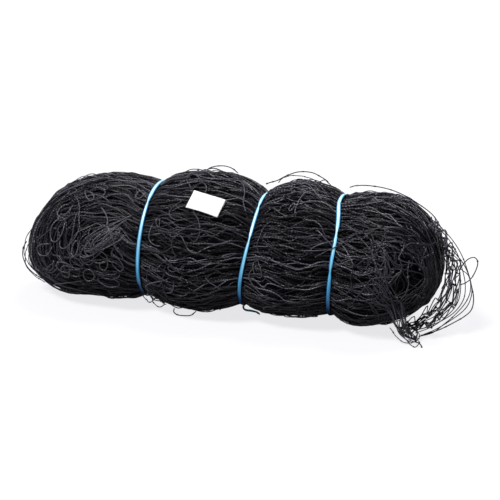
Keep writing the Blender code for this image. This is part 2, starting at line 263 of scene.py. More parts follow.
def catmull(points, samples, closed):
    """Return samples per span on Catmull-Rom curves; points are strands x points x values."""
    if closed:
        before = np.roll(points, 1, 1)
        after = np.roll(points, -1, 1)
        later = np.roll(points, -2, 1)
        start, end = points, after
    else:
        first = 2.0 * points[:, :1] - points[:, 1:2]
        last = 2.0 * points[:, -1:] - points[:, -2:-1]
        padded = np.concatenate([first, points, last], 1)
        before, start, end, later = padded[:, :-3], padded[:, 1:-2], padded[:, 2:-1], padded[:, 3:]
    t = np.linspace(0.0, 1.0, samples, endpoint=False)[None, None, :, None]
    before, start, end, later = (item[:, :, None, :] for item in (before, start, end, later))
    curve = 0.5 * (
        2.0 * start
        + (end - before) * t
        + (2.0 * before - 5.0 * start + 4.0 * end - later) * t ** 2
        + (3.0 * start - before - 3.0 * end + later) * t ** 3
    )
    curve = curve.reshape(curve.shape[0], -1, curve.shape[-1])
    if not closed:
        curve = np.concatenate([curve, points[:, -1:]], 1)
    return curve


def run_along(points):
    """Return the distance along a line of points, up to each of them."""
    return np.concatenate([[0.0], np.cumsum(np.linalg.norm(np.diff(points, axis=0), axis=1))])


def spread_evenly(points, run, count):
    """Return count points at even distances along a line."""
    even = np.linspace(0.0, run[-1], count)
    return np.stack([np.interp(even, run, points[:, axis]) for axis in range(points.shape[1])], 1)


# ---------------------------------------------------------------- tubes of twine
class Skein:
    """Collects vertices, faces, twine coordinates and shades for one mesh object."""

    def __init__(self):
        """Start with nothing."""
        self.verts = []
        self.quads = []
        self.uvs = []
        self.shades = []
        self.total = 0

    def add(self, verts, quads, uvs, shades):
        """Add one body; a face's fourth corner below zero makes it a triangle."""
        self.quads.append(quads + self.total)
        self.verts.append(verts)
        self.uvs.append(uvs)
        self.shades.append(shades)
        self.total += len(verts)

    def build(self, name, material):
        """Make the mesh object, with a UV map along the twine and a shade per point."""
        verts = np.concatenate(self.verts).astype(np.float32)
        quads = np.concatenate(self.quads).astype(np.int32)
        uvs = np.concatenate(self.uvs).astype(np.float32)
        shades = np.concatenate(self.shades).astype(np.float32)
        triangle = quads[:, 3] < 0
        sizes = np.where(triangle, 3, 4).astype(np.int32)
        keep = np.ones((len(quads), 4), bool)
        keep[triangle, 3] = False
        loops = quads[keep]
        mesh = bpy.data.meshes.new(name)
        mesh.vertices.add(len(verts))
        mesh.vertices.foreach_set("co", verts.ravel())
        mesh.loops.add(len(loops))
        mesh.loops.foreach_set("vertex_index", loops)
        mesh.polygons.add(len(quads))
        starts = np.concatenate([[0], np.cumsum(sizes)[:-1]]).astype(np.int32)
        mesh.polygons.foreach_set("loop_start", starts)
        mesh.polygons.foreach_set("use_smooth", np.ones(len(quads), bool))
        mesh.update(calc_edges=True)
        layer = mesh.uv_layers.new(name="twine")
        layer.data.foreach_set("uv", uvs[keep].ravel())
        attribute = mesh.attributes.new("shade", "FLOAT", "POINT")
        attribute.data.foreach_set("value", shades)
        mesh.materials.append(material)
        obj = bpy.data.objects.new(name, mesh)
        bpy.context.scene.collection.objects.link(obj)
        return obj


def tube_parts(lines, radius, hint, sides, shade, closed=False):
    """Return rings, distances along and shades of tubes round strands x samples x 3 lines.

    hint is the direction, about across each line, that the rings start from.
    """
    count, samples = lines.shape[:2]
    if closed:
        ahead = np.roll(lines, -1, 1) - np.roll(lines, 1, 1)
    else:
        ahead = np.gradient(lines, axis=1)
    ahead /= np.linalg.norm(ahead, axis=-1, keepdims=True) + 1e-12
    side = np.cross(ahead, hint)
    side /= np.linalg.norm(side, axis=-1, keepdims=True) + 1e-12
    out = np.cross(side, ahead)
    turn = 2.0 * np.pi * np.arange(sides) / sides
    radius = np.broadcast_to(np.asarray(radius, float), (count, samples))[:, :, None, None]
    ring = (
        side[:, :, None, :] * np.cos(turn)[None, None, :, None]
        + out[:, :, None, :] * np.sin(turn)[None, None, :, None]
    )
    rings = lines[:, :, None, :] + radius * ring
    steps = np.linalg.norm(np.diff(lines, axis=1), axis=-1)
    run = np.concatenate([np.zeros((count, 1)), np.cumsum(steps, 1)], 1)
    shades = np.broadcast_to(shade[:, None, None], (count, samples, sides))
    return rings, run, shades


def ring_quads(base, top, sides):
    """Return the faces between rings, whose first corners are base and top."""
    corner = np.arange(sides)[None, :]
    nxt = (corner + 1) % sides
    return np.stack([base + corner, base + nxt, top + nxt, top + corner], -1).reshape(-1, 4)


def ring_uvs(v0, v1, sides):
    """Return the twine coordinates of faces that run from v0 to v1 along the tube."""
    u0 = np.tile(np.arange(sides) / sides, len(v0) // sides)
    u1 = u0 + 1.0 / sides
    ends = ((u0, v0), (u1, v0), (u1, v1), (u0, v1))
    return np.stack([np.stack(pair, -1) for pair in ends], 1)


def cap_faces(row, flip, sides, center):
    """Return the triangles from one ring to the middle point that closes the tube there."""
    around = row * sides + np.arange(sides)
    onward = row * sides + (np.arange(sides) + 1) % sides
    first, second = (onward, around) if flip else (around, onward)
    return np.stack([first, second, np.full(sides, center), np.full(sides, NO_CORNER)], -1)


def add_tubes(skeins, pick, lines, radius, hint, shade, sides=SIDES, closed=False):
    """Add tubes to skeins; pick gives the skein's index for each segment of each strand."""
    rings, run, shades = tube_parts(lines, radius, hint, sides, shade, closed)
    count, samples = lines.shape[:2]
    span = samples if closed else samples - 1
    segment = np.arange(span)
    following = (segment + 1) % samples
    regions = pick(0.5 * (lines[:, segment] + lines[:, following]))
    for region, skein in enumerate(skeins):
        chosen = regions == region
        for strand in range(count):
            mine = chosen[strand]
            if not mine.any():
                continue
            edges = np.flatnonzero(np.diff(np.concatenate([[0], mine.astype(int), [0]])))
            for first, last in zip(edges[::2], edges[1::2]):
                wrap = closed and last == span
                index = np.arange(first, last + 1)
                place = index % samples
                ring = rings[strand, place].reshape(-1, 3)
                rows = len(index)
                base = np.arange(rows - 1)[:, None] * sides
                quads = ring_quads(base, base + sides, sides)
                along = run[strand, place].copy()
                if wrap:
                    gap = np.linalg.norm(lines[strand, 0] - lines[strand, -1])
                    along[-1] = run[strand, -1] + gap
                uv = ring_uvs(np.repeat(along[:-1], sides), np.repeat(along[1:], sides), sides)
                ends = [ring]
                caps = []
                for row, flip in ((0, True), (rows - 1, False)):
                    caps.append(cap_faces(row, flip, sides, len(ring) + len(caps)))
                    ends.append(ring[row * sides:(row + 1) * sides].mean(0, keepdims=True))
                skein.add(
                    np.concatenate(ends),
                    np.concatenate([quads] + caps),
                    np.concatenate([uv, np.zeros((2 * sides, 4, 2))]),
                    np.concatenate([shades[strand, place].reshape(-1),
                                    np.full(2, shades[strand, 0, 0])]),
                )


# ---------------------------------------------------------------- materials
def feed(tree, node, inputs):
    """Give a node's sockets their values, or link them to other nodes' outputs."""
    for socket, value in dict(inputs).items():
        if isinstance(value, bpy.types.NodeSocket):
            tree.links.new(value, node.inputs[socket])
        else:
            node.inputs[socket].default_value = value


def add_node(tree, kind, inputs=()):
    """Add a shader node with its inputs."""
    node = tree.nodes.new("ShaderNode" + kind)
    feed(tree, node, inputs)
    return node


def add_math(tree, operation, *values):
    """Return the output of a Math node that applies the operation to its values."""
    node = add_node(tree, "Math", enumerate(values))
    node.operation = operation
    return node.outputs[0]


def add_mix(tree, factor, dark, light):
    """Return a colour between dark and light."""
    node = tree.nodes.new("ShaderNodeMix")
    node.data_type = "RGBA"
    feed(tree, node, {"A": (*dark, 1.0), "B": (*light, 1.0), "Factor": factor})
    return node.outputs["Result"]


def add_bump(tree, height, strength, distance):
    """Return the normal of a surface with the given height on it."""
    inputs = {"Strength": strength, "Distance": distance, "Height": height}
    return add_node(tree, "Bump", inputs).outputs[0]


def add_noise(tree, vector, scale, detail=2.0, roughness=0.5):
    """Return noise at the given coordinates."""
    inputs = {"Vector": vector, "Scale": scale, "Detail": detail, "Roughness": roughness}
    return add_node(tree, "TexNoise", inputs).outputs["Fac"]


def object_coords(tree):
    """Return coordinates that are fixed to the object."""
    return tree.nodes.new("ShaderNodeTexCoord").outputs["Object"]


def twine_coords(tree):
    """Return coordinates round and along the twine."""
    node = tree.nodes.new("ShaderNodeUVMap")
    node.uv_map = "twine"
    return node.outputs["UV"]


def strand_shade(tree):
    """Return the shade that each strand was given."""
    node = tree.nodes.new("ShaderNodeAttribute")
    node.attribute_name = "shade"
    return node.outputs["Fac"]


def new_material(name):
    """Return a material, its node tree and its Principled shader."""
    material = bpy.data.materials.new(name)
    material.use_nodes = True
    return material, material.node_tree, material.node_tree.nodes["Principled BSDF"]


def twine_material(name, dark, light, roughness, turns, pitch, bump):
    """Twisted twine: strands spiral along the UV map, and each length has its own shade, which also holds
    painted shade that darkens and dulls the deeper layers and some strays.
    """
    material, tree, shader = new_material(name)
    split = add_node(tree, "SeparateXYZ", {0: twine_coords(tree)})
    around = add_math(tree, "MULTIPLY", split.outputs["X"], turns * 2.0 * math.pi)
    along = add_math(tree, "MULTIPLY_ADD", split.outputs["Y"], 2.0 * math.pi / pitch, around)
    wave = add_math(tree, "SINE", along)
    fuzz = add_noise(tree, object_coords(tree), 900.0)
    height = add_math(tree, "MULTIPLY_ADD", fuzz, 0.6, wave)
    shade = strand_shade(tree)
    feed(tree, shader, {
        "Base Color": add_mix(tree, add_math(tree, "MULTIPLY_ADD", wave, 0.12, shade), dark, light),
        "Roughness": roughness,
        # The specular level follows the shade, so painted shade also dims the reflections of deeper
        # strands.
        "Specular IOR Level": add_math(tree, "MULTIPLY_ADD", shade, 1.0, 0.06),
        "Normal": add_bump(tree, height, bump, 0.0003),
    })
    return material


def core_painted_shade_material():
    """The depth of the bundle: near black like the twine and darker still as painted shade of the
    bundle's inside, with ridges that run along like packed strands.
    """
    material, tree, shader = new_material("net_depth_painted_shade")
    stretch = {"Scale": (22.0, 260.0, 260.0), "Vector": object_coords(tree)}
    noise = add_noise(tree, add_node(tree, "Mapping", stretch).outputs[0], 1.0, 3.0)
    feed(tree, shader, {
        "Base Color": add_mix(tree, noise, (0.003, 0.003, 0.004), (0.012, 0.012, 0.015)),
        "Roughness": 0.8,
        "Specular IOR Level": 0.2,
        "Normal": add_bump(tree, noise, 0.9, 0.003),
    })
    return material


def raffia_material(name, shaded_to_lit_colors, pitch):
    """Split plastic ribbon: glossy fibres that run along it, with painted shade that makes it darker blue
    in its folds, at its edges and below, and painted light that makes it paler on top.
    """
    material, tree, shader = new_material(name)
    stretch = {"Scale": (14.0, pitch, 1.0), "Vector": twine_coords(tree)}
    fibre = add_noise(tree, add_node(tree, "Mapping", stretch).outputs[0], 1.0, 4.0, 0.65)
    offset = add_math(tree, "SUBTRACT", strand_shade(tree), 0.25)
    blend = add_node(tree, "Math", {0: fibre, 1: 0.5, 2: offset})
    blend.operation = "MULTIPLY_ADD"
    blend.use_clamp = True
    ramp = add_node(tree, "ValToRGB", {"Fac": blend.outputs[0]})
    ramp.color_ramp.elements[0].color = (*shaded_to_lit_colors[0], 1.0)
    ramp.color_ramp.elements[1].color = (*shaded_to_lit_colors[-1], 1.0)
    for step, color in enumerate(shaded_to_lit_colors[1:-1]):
        ramp.color_ramp.elements.new((step + 1) / (len(shaded_to_lit_colors) - 1)).color = (*color, 1.0)
    feed(tree, shader, {
        "Base Color": ramp.outputs["Color"],
        "Roughness": 0.30,
        "Normal": add_bump(tree, fibre, 0.7, 0.0004),
    })
    return material


def paper_material():
    """Plain white label paper with a faint fibre mottle and a soft tooth."""
    material, tree, shader = new_material("label_paper")
    coords = object_coords(tree)
    mottle = add_noise(tree, coords, 160.0, 5.0)
    feed(tree, shader, {
        "Base Color": add_mix(tree, mottle, (0.80, 0.81, 0.83), (0.88, 0.88, 0.89)),
        "Roughness": 0.6,
        "Normal": add_bump(tree, add_noise(tree, coords, 1400.0), 0.15, 0.0001),
    })
    return material


NET = twine_material(
    "net_twine", dark=(0.0012, 0.0011, 0.0016), light=(0.078, 0.074, 0.097),
    roughness=0.36, turns=2.0, pitch=0.0044, bump=0.6,
)
# Painted shade: the near-black core stands in for the shadowed inside of the bundle seen between the
# strands.
CORE_PAINTED_SHADE = core_painted_shade_material()
# From painted shade to painted light: the shade attribute picks among these blues, together with the
# fibres' own tone.
RAFFIA_SHADED_TO_LIT_COLORS = (
    (0.001, 0.014, 0.050), (0.006, 0.14, 0.42), (0.08, 0.46, 0.74), (0.62, 0.92, 0.96),
)
RAFFIA = raffia_material("tie_raffia", RAFFIA_SHADED_TO_LIT_COLORS, 30.0)
PAPER = paper_material()


# ---------------------------------------------------------------- knots of twine
KNOT_RINGS = ((-0.72, 0.66), (-0.28, 0.92), (0.10, 0.80), (0.45, 0.98), (0.80, 0.60))


def spine_out(points):
    """Return unit directions away from the bundle's spine."""
    x = np.clip(points[..., 0], EYE_LEFT, EYE_RIGHT)
    out = points - np.stack([x, np.zeros_like(x), np.full_like(x, MID_HEIGHT)], -1)
    return out / (np.linalg.norm(out, axis=-1, keepdims=True) + 1e-9)


def add_knots(skeins, pick, centers, ahead, rng, size):
    """Add a knot at each centre: a waisted lump, longer along the strands."""
    if not len(centers):
        return
    sides = 6
    out = spine_out(centers)
    ahead = ahead / (np.linalg.norm(ahead, axis=-1, keepdims=True) + 1e-9)
    side = np.cross(ahead, out)
    side /= np.linalg.norm(side, axis=-1, keepdims=True) + 1e-9
    out = np.cross(side, ahead)
    regions = pick(centers)
    turn = 2.0 * np.pi * np.arange(sides) / sides
    for index in range(len(centers)):
        length = size * rng.uniform(1.05, 1.45)
        width = size * rng.uniform(0.80, 1.05)
        spin = rng.uniform(0.0, 1.0)
        points = [centers[index] - ahead[index] * length]
        for place, girth in KNOT_RINGS:
            ring = (
                side[index] * np.cos(turn + spin + place)[:, None] * girth * width
                + out[index] * np.sin(turn + spin + place)[:, None] * girth * width * 0.85
            )
            points.extend(centers[index] + ahead[index] * (place * length) + ring)
        points.append(centers[index] + ahead[index] * length)
        faces = []
        for corner in range(sides):
            nxt = (corner + 1) % sides
            faces.append((0, 1 + nxt, 1 + corner, NO_CORNER))
            last = 1 + (len(KNOT_RINGS) - 1) * sides
            faces.append((last + corner, last + nxt, len(points) - 1, NO_CORNER))
            for ring_index in range(len(KNOT_RINGS) - 1):
                base = 1 + ring_index * sides
                faces.append((base + corner, base + nxt, base + sides + nxt, base + sides + corner))
        faces = np.array(faces)
        uvs = np.zeros((len(faces), 4, 2))
        uvs[:, :, 0] = rng.uniform(0.0, 1.0)
        uvs[:, 2:, 1] = 0.002
        points = np.array(points)
        points[:, 2] = np.maximum(points[:, 2], 0.0001)
        skeins[regions[index]].add(points, faces, uvs, np.full(len(points), rng.uniform(0.3, 0.7)))


def everything(points):
    """Put every point in the first skein."""
    return np.zeros(points.shape[:-1], int)


# ---------------------------------------------------------------- cords
# The same routes as the CAD solids follow.
LOOSE_TWINE = {
    "loose_twine_left": (
        (-0.3125, -0.0310, 0.0810), (-0.3185, -0.0312, 0.0700), (-0.3200, -0.0313, 0.0575),
        (-0.3170, -0.0312, 0.0460), (-0.3110, -0.0311, 0.0365), (-0.3012, -0.0310, 0.0285),
        (-0.2885, -0.0309, 0.0220), (-0.2765, -0.0308, 0.0165),
    ),
    "loose_twine_top_2": (
        (-0.0430, 0.0310, 0.2005), (-0.0363, 0.0312, 0.2035), (-0.0278, 0.0314, 0.2056),
        (-0.0163, 0.0314, 0.2061), (-0.0056, 0.0312, 0.2030), (0.0021, 0.0310, 0.1970),
    ),
    "loose_twine_floor_2": (
        (-0.0740, -0.0460, 0.0042), (-0.0720, -0.0540, 0.0022), (-0.0650, -0.0600, 0.0010),
        (-0.0540, -0.0610, 0.0010), (-0.0450, -0.0570, 0.0010), (-0.0420, -0.0490, 0.0022),
        (-0.0420, -0.0420, 0.0013),
    ),
    "loose_twine_top_3": (
        (0.0437, 0.0350, 0.1830), (0.0520, 0.0352, 0.1865), (0.0612, 0.0353, 0.1900),
        (0.0723, 0.0353, 0.1970), (0.0812, 0.0352, 0.2015), (0.0917, 0.0352, 0.2054),
        (0.1036, 0.0352, 0.2068), (0.1144, 0.0352, 0.2058), (0.1231, 0.0352, 0.2023),
        (0.1306, 0.0351, 0.1985), (0.1370, 0.0350, 0.1945),
    ),
    "loose_twine_top_4": (
        (0.1700, 0.0300, 0.1905), (0.1800, 0.0301, 0.1940), (0.1996, 0.0302, 0.1955),
        (0.2259, 0.0302, 0.1930), (0.2508, 0.0302, 0.1850), (0.2740, 0.0301, 0.1725),
        (0.2925, 0.0300, 0.1590), (0.3055, 0.0298, 0.1405),
    ),
    "loose_twine_right_outer": (
        (0.3150, -0.0215, 0.1452), (0.3232, -0.0215, 0.1353), (0.3336, -0.0215, 0.1237),
        (0.3448, -0.0216, 0.1106), (0.3529, -0.0216, 0.0953), (0.3584, -0.0217, 0.0778),
        (0.3622, -0.0217, 0.0593), (0.3601, -0.0218, 0.0423), (0.3501, -0.0220, 0.0303),
        (0.3336, -0.0225, 0.0180), (0.3170, -0.0240, 0.0075), (0.3010, -0.0285, 0.0013),
        (0.2925, -0.0370, 0.0010),
    ),
    "loose_twine_right_inner": (
        (0.3389, -0.0100, 0.0948), (0.3434, -0.0101, 0.1043), (0.3506, -0.0102, 0.1134),
        (0.3590, -0.0102, 0.1165), (0.3638, -0.0102, 0.1103), (0.3622, -0.0101, 0.0988),
        (0.3563, -0.0101, 0.0853), (0.3485, -0.0100, 0.0772), (0.3407, -0.0100, 0.0733),
    ),
    "loose_twine_right_front": (
        (0.2600, -0.0680, 0.0290), (0.2665, -0.0680, 0.0200), (0.2715, -0.0660, 0.0125),
        (0.2775, -0.0620, 0.0060), (0.2850, -0.0550, 0.0026), (0.2893, -0.0520, 0.0056),
        (0.2885, -0.0500, 0.0118), (0.2850, -0.0490, 0.0170),
    ),
    "loose_twine_right_end": (
        (0.2790, -0.0630, 0.0040), (0.2850, -0.0620, 0.0013), (0.2905, -0.0630, 0.0010),
        (0.2955, -0.0665, 0.0010), (0.2988, -0.0725, 0.0010), (0.3008, -0.0785, 0.0010),
    ),
}
TIE_TAILS = {
    "tie_1_tail_left": (
        (-0.1162, 0.0900, 0.1163), (-0.1178, 0.0935, 0.1050), (-0.1190, 0.0940, 0.0870),
        (-0.1185, 0.0930, 0.0710), (-0.1175, 0.0945, 0.0550),
    ),
    "tie_1_tail_right": (
        (-0.1110, 0.0900, 0.1163), (-0.1112, 0.0945, 0.1030), (-0.1122, 0.0965, 0.0850),
        (-0.1130, 0.0945, 0.0690), (-0.1122, 0.0960, 0.0470),
    ),
    "tie_2_tail_front": (
        (0.0230, 0.0000, 0.0062), (0.0215, -0.0085, 0.0030), (0.0270, -0.0165, 0.0018),
        (0.0360, -0.0175, 0.0018), (0.0450, -0.0200, 0.0018), (0.0520, -0.0270, 0.0018),
    ),
    "tie_2_tail_back": (
        (0.0255, 0.0158, 0.0066), (0.0258, 0.0225, 0.0030), (0.0245, 0.0320, 0.0018),
        (0.0270, 0.0430, 0.0018), (0.0255, 0.0540, 0.0018),
    ),
    "tie_3_tail_left": (
        (0.1660, 0.0895, 0.1168), (0.1656, 0.0935, 0.1040), (0.1650, 0.0945, 0.0860),
        (0.1655, 0.0935, 0.0700), (0.1648, 0.0950, 0.0520),
    ),
    "tie_3_tail_right": (
        (0.1710, 0.0895, 0.1168), (0.1715, 0.0945, 0.1040), (0.1712, 0.0960, 0.0880),
        (0.1705, 0.0945, 0.0730), (0.1710, 0.0955, 0.0600),
    ),
}
CORD_BODIES = {
    "loose_twine_left": "lobe_1",
    "loose_twine_top_2": "lobe_2",
    "loose_twine_floor_2": "lobe_2",
    "loose_twine_top_3": "lobe_3",
}
BARE_ENDS = ("loose_twine_top_3", "loose_twine_right_end")
STARTS_AT_END = ("loose_twine_top_3",)


def smooth_route(points, spacing):
    """Return evenly spaced points on a smooth curve through the route's own points."""
    fine = catmull(np.array(points, float)[None], 24, closed=False)[0]
    run = run_along(fine)
    count = max(4, int(round(run[-1] / spacing)))
    return spread_evenly(fine, run, count + 1), run[-1]


def steady_hint(route):
    """Return one direction that is never along the route, to start a tube's rings from."""
    spread = np.linalg.svd(route - route.mean(0))[2]
    return np.broadcast_to(spread[2], route.shape)[None]


def make_loose_twine(rng):
    """Make the strands of the net that stand away from it, each with its knots."""
    for name, points in LOOSE_TWINE.items():
        route, length = smooth_route(points, 0.0016)
        if name in STARTS_AT_END:
            route = route[::-1]
        body = CORD_BODIES.get(name, "lobe_4")
        skein = Skein()
        shade = np.array([rng.uniform(0.30, 0.55)])
        add_tubes([skein], everything, route[None], TWINE / 2.0, steady_hint(route), shade, 8)
        piece = skein.build(f"{name}_twine", NET)
        knots = Skein()
        steps = np.arange(rng.uniform(0.010, 0.020), length - 0.006, BAR * 0.62)
        chosen = np.clip((steps / length * (len(route) - 1)).astype(int), 1, len(route) - 2)
        if name in BARE_ENDS:
            chosen = np.append(chosen, len(route) - 2)
        ahead = route[chosen + 1] - route[chosen - 1]
        add_knots([knots], everything, route[chosen], ahead, rng, 0.0016)
        lumps = knots.build(f"{name}_knots", NET)
        for part in (piece, lumps):
            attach(part, body)
        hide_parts(name)


def make_tails(rng):
    """Make the tails of the ties: ribbon rolled up on itself, with its end tapered."""
    for name, points in TIE_TAILS.items():
        route, length = smooth_route(points, 0.0016)
        hint = steady_hint(route)
        ahead = np.gradient(route, axis=0)
        ahead /= np.linalg.norm(ahead, axis=1, keepdims=True)
        side = np.cross(ahead, hint[0])
        side /= np.linalg.norm(side, axis=1, keepdims=True)
        out = np.cross(side, ahead)
        sides = 12
        turn = 2.0 * np.pi * np.arange(sides) / sides
        run = np.linspace(0.0, length, len(route))
        twist = run * 2.0 * np.pi / 0.022 + rng.uniform(0.0, 6.0)
        folds = 0.88 + 0.11 * np.cos(2.0 * turn[None, :] + twist[:, None])
        folds = folds + 0.05 * np.cos(5.0 * turn[None, :] - 1.6 * twist[:, None])
        taper = np.clip((length - run) / 0.004, 0.55, 1.0)[:, None]
        radius = TAIL / 2.0 * folds * taper
        rings = rings_round(route, radius, side, out, turn)
        rings[..., 2] = np.maximum(rings[..., 2], 0.0001)
        skein = Skein()
        add_strip(skein, rings, run, shade=0.72, closed=False)
        piece = skein.build(f"{name}_raffia", RAFFIA)
        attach(piece, "lobe_3" if name.startswith("tie_3") else "lobe_2")
        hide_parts(name)


def rings_round(line, radius, side, up, turn):
    """Return rings of points round a line, with a radius for each angle of each ring."""
    right = side[:, None, :] * np.cos(turn)[None, :, None]
    upward = up[:, None, :] * np.sin(turn)[None, :, None]
    return line[:, None, :] + radius[..., None] * (right + upward)


def add_strip(skein, rings, run, shade, closed):
    """Add a tube from its rings of points, with a middle point closing each open end."""
    rows, sides = rings.shape[:2]
    index = np.arange(rows if closed else rows - 1)
    faces = [ring_quads(index[:, None] * sides, ((index + 1) % rows)[:, None] * sides, sides)]
    v0 = np.repeat(run[index], sides)
    all_uvs = [ring_uvs(v0, v0 + float(run[1] - run[0]), sides)]
    verts = rings.reshape(-1, 3)
    extra = []
    if not closed:
        for row, flip in ((0, True), (rows - 1, False)):
            faces.append(cap_faces(row, flip, sides, len(verts) + len(extra)))
            extra.append(rings[row].mean(0))
            all_uvs.append(np.zeros((sides, 4, 2)))
        verts = np.concatenate([verts, np.array(extra)])
    shades = np.broadcast_to(shade, rings.shape[:2]).reshape(-1)
    shades = np.concatenate([shades, np.full(len(extra), shades[0])])
    skein.add(verts, np.concatenate(faces), np.concatenate(all_uvs), shades)


EYE_LEFT = -0.142
EYE_RIGHT = 0.245
make_loose_twine(np.random.default_rng(SEED + 90))
make_tails(np.random.default_rng(SEED + 91))


# ---------------------------------------------------------------- the net
SPLITS = (
    0.5 * (WAISTS[0]["x"] + WAISTS[1]["x"]),
    0.5 * (WAISTS[1]["x"] + WAISTS[2]["x"]),
)
REGION_NAMES = ("left", "middle", "right")


def region_of(points):
    """Return 0, 1 or 2: which bend of the bundle a point belongs to."""
    return (points[..., 0] > SPLITS[0]).astype(int) + (points[..., 0] > SPLITS[1])


def ride_bend(piece):
    """Bake the piece's placement into its mesh."""
    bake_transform(piece)


def turn_reach(across, gap_low, gap_high, inner, outer):
    """Return how far a row turns beyond its eye; few rows turn inside the eye's opening."""
    close = inner * np.minimum(across / gap_low, 1.0)
    far = outer + (1.0 - outer) * np.clip((across - gap_high) / (1.0 - gap_high), 0.0, 1.0)
    return close + (far - close) * ease(across, gap_low, gap_high)


def racetrack(run, row):
    """Return x and angle at a distance along the closed path of a row of strands.

    A row runs over the top from right to left, turns down round the left end, comes
    back underneath and turns up round the right end.
    """
    straight = EYE_RIGHT - EYE_LEFT
    across = np.sin(row)
    bend = np.pi * (0.012 + 0.085 * across)
    whole = 2.0 * (straight + bend)
    run = np.mod(run * whole, whole)
    left = np.clip((run - straight) / bend, 0.0, 1.0) * np.pi
    right = np.clip((run - 2.0 * straight - bend) / bend, 0.0, 1.0) * np.pi
    reach_left = EYE_LEFT - LEFT_NOSE["x"] - 0.002
    reach_left = reach_left * turn_reach(across, 0.16, 0.24, 0.05, 0.30)
    reach_right = RIGHT_NOSE["x"] - 0.002 - EYE_RIGHT
    reach_right = reach_right * turn_reach(across, 0.36, 0.46, 0.10, 0.78)
    underneath = EYE_LEFT + np.clip(run - straight - bend, 0.0, straight)
    x = np.where(run < straight, EYE_RIGHT - run, underneath)
    x = np.where((left > 0) & (left < np.pi), EYE_LEFT - reach_left * np.sin(left), x)
    x = np.where(right > 0, EYE_RIGHT + reach_right * np.sin(right), x)
    over = np.cos(left) * np.where(right > 0, np.cos(right), 1.0)
    return x, np.arctan2(across * over, np.cos(row))


def sag(x):
    """Return how far strands slide down the lobes' sides, as an angle, between waists."""
    share1 = np.clip((x - WAISTS[0]["x"]) / (WAISTS[1]["x"] - WAISTS[0]["x"]), 0.0, 1.0)
    share2 = np.clip((x - WAISTS[1]["x"]) / (WAISTS[2]["x"] - WAISTS[1]["x"]), 0.0, 1.0)
    left = -0.24 * ease(WAISTS[0]["x"] - x, 0.0, 0.04)
    return left + 0.16 * np.sin(np.pi * share1) + 0.10 * np.sin(np.pi * share2)


def smooth_noise(rng, shape, width):
    """Return random values smoothed along the second axis over about width samples."""
    noise = rng.standard_normal(shape)
    reach = int(3 * width)
    kernel = np.exp(-0.5 * (np.arange(-reach, reach + 1) / width) ** 2)
    kernel /= np.sqrt((kernel ** 2).sum())
    padded = np.concatenate([noise[:, -reach:], noise, noise[:, :reach]], 1)
    return np.stack([
        np.stack([np.convolve(padded[k, :, c], kernel, "valid") for c in range(shape[2])], -1)
        for k in range(shape[0])
    ])


def eye_depth(x, angle):
    """Return how much deeper the net lies inside the openings at its two ends."""
    depth = np.zeros(np.broadcast(x, angle).shape)
    from_front = np.abs(np.mod(angle + 0.5 * np.pi, np.pi) - 0.5 * np.pi)
    for eye, width, deep in ((EYE_LEFT - 0.022, 0.026, 0.016), (EYE_RIGHT + 0.026, 0.032, 0.042)):
        depth = depth + deep * np.exp(-((x - eye) / width) ** 2 - (from_front / 0.46) ** 2)
    return depth


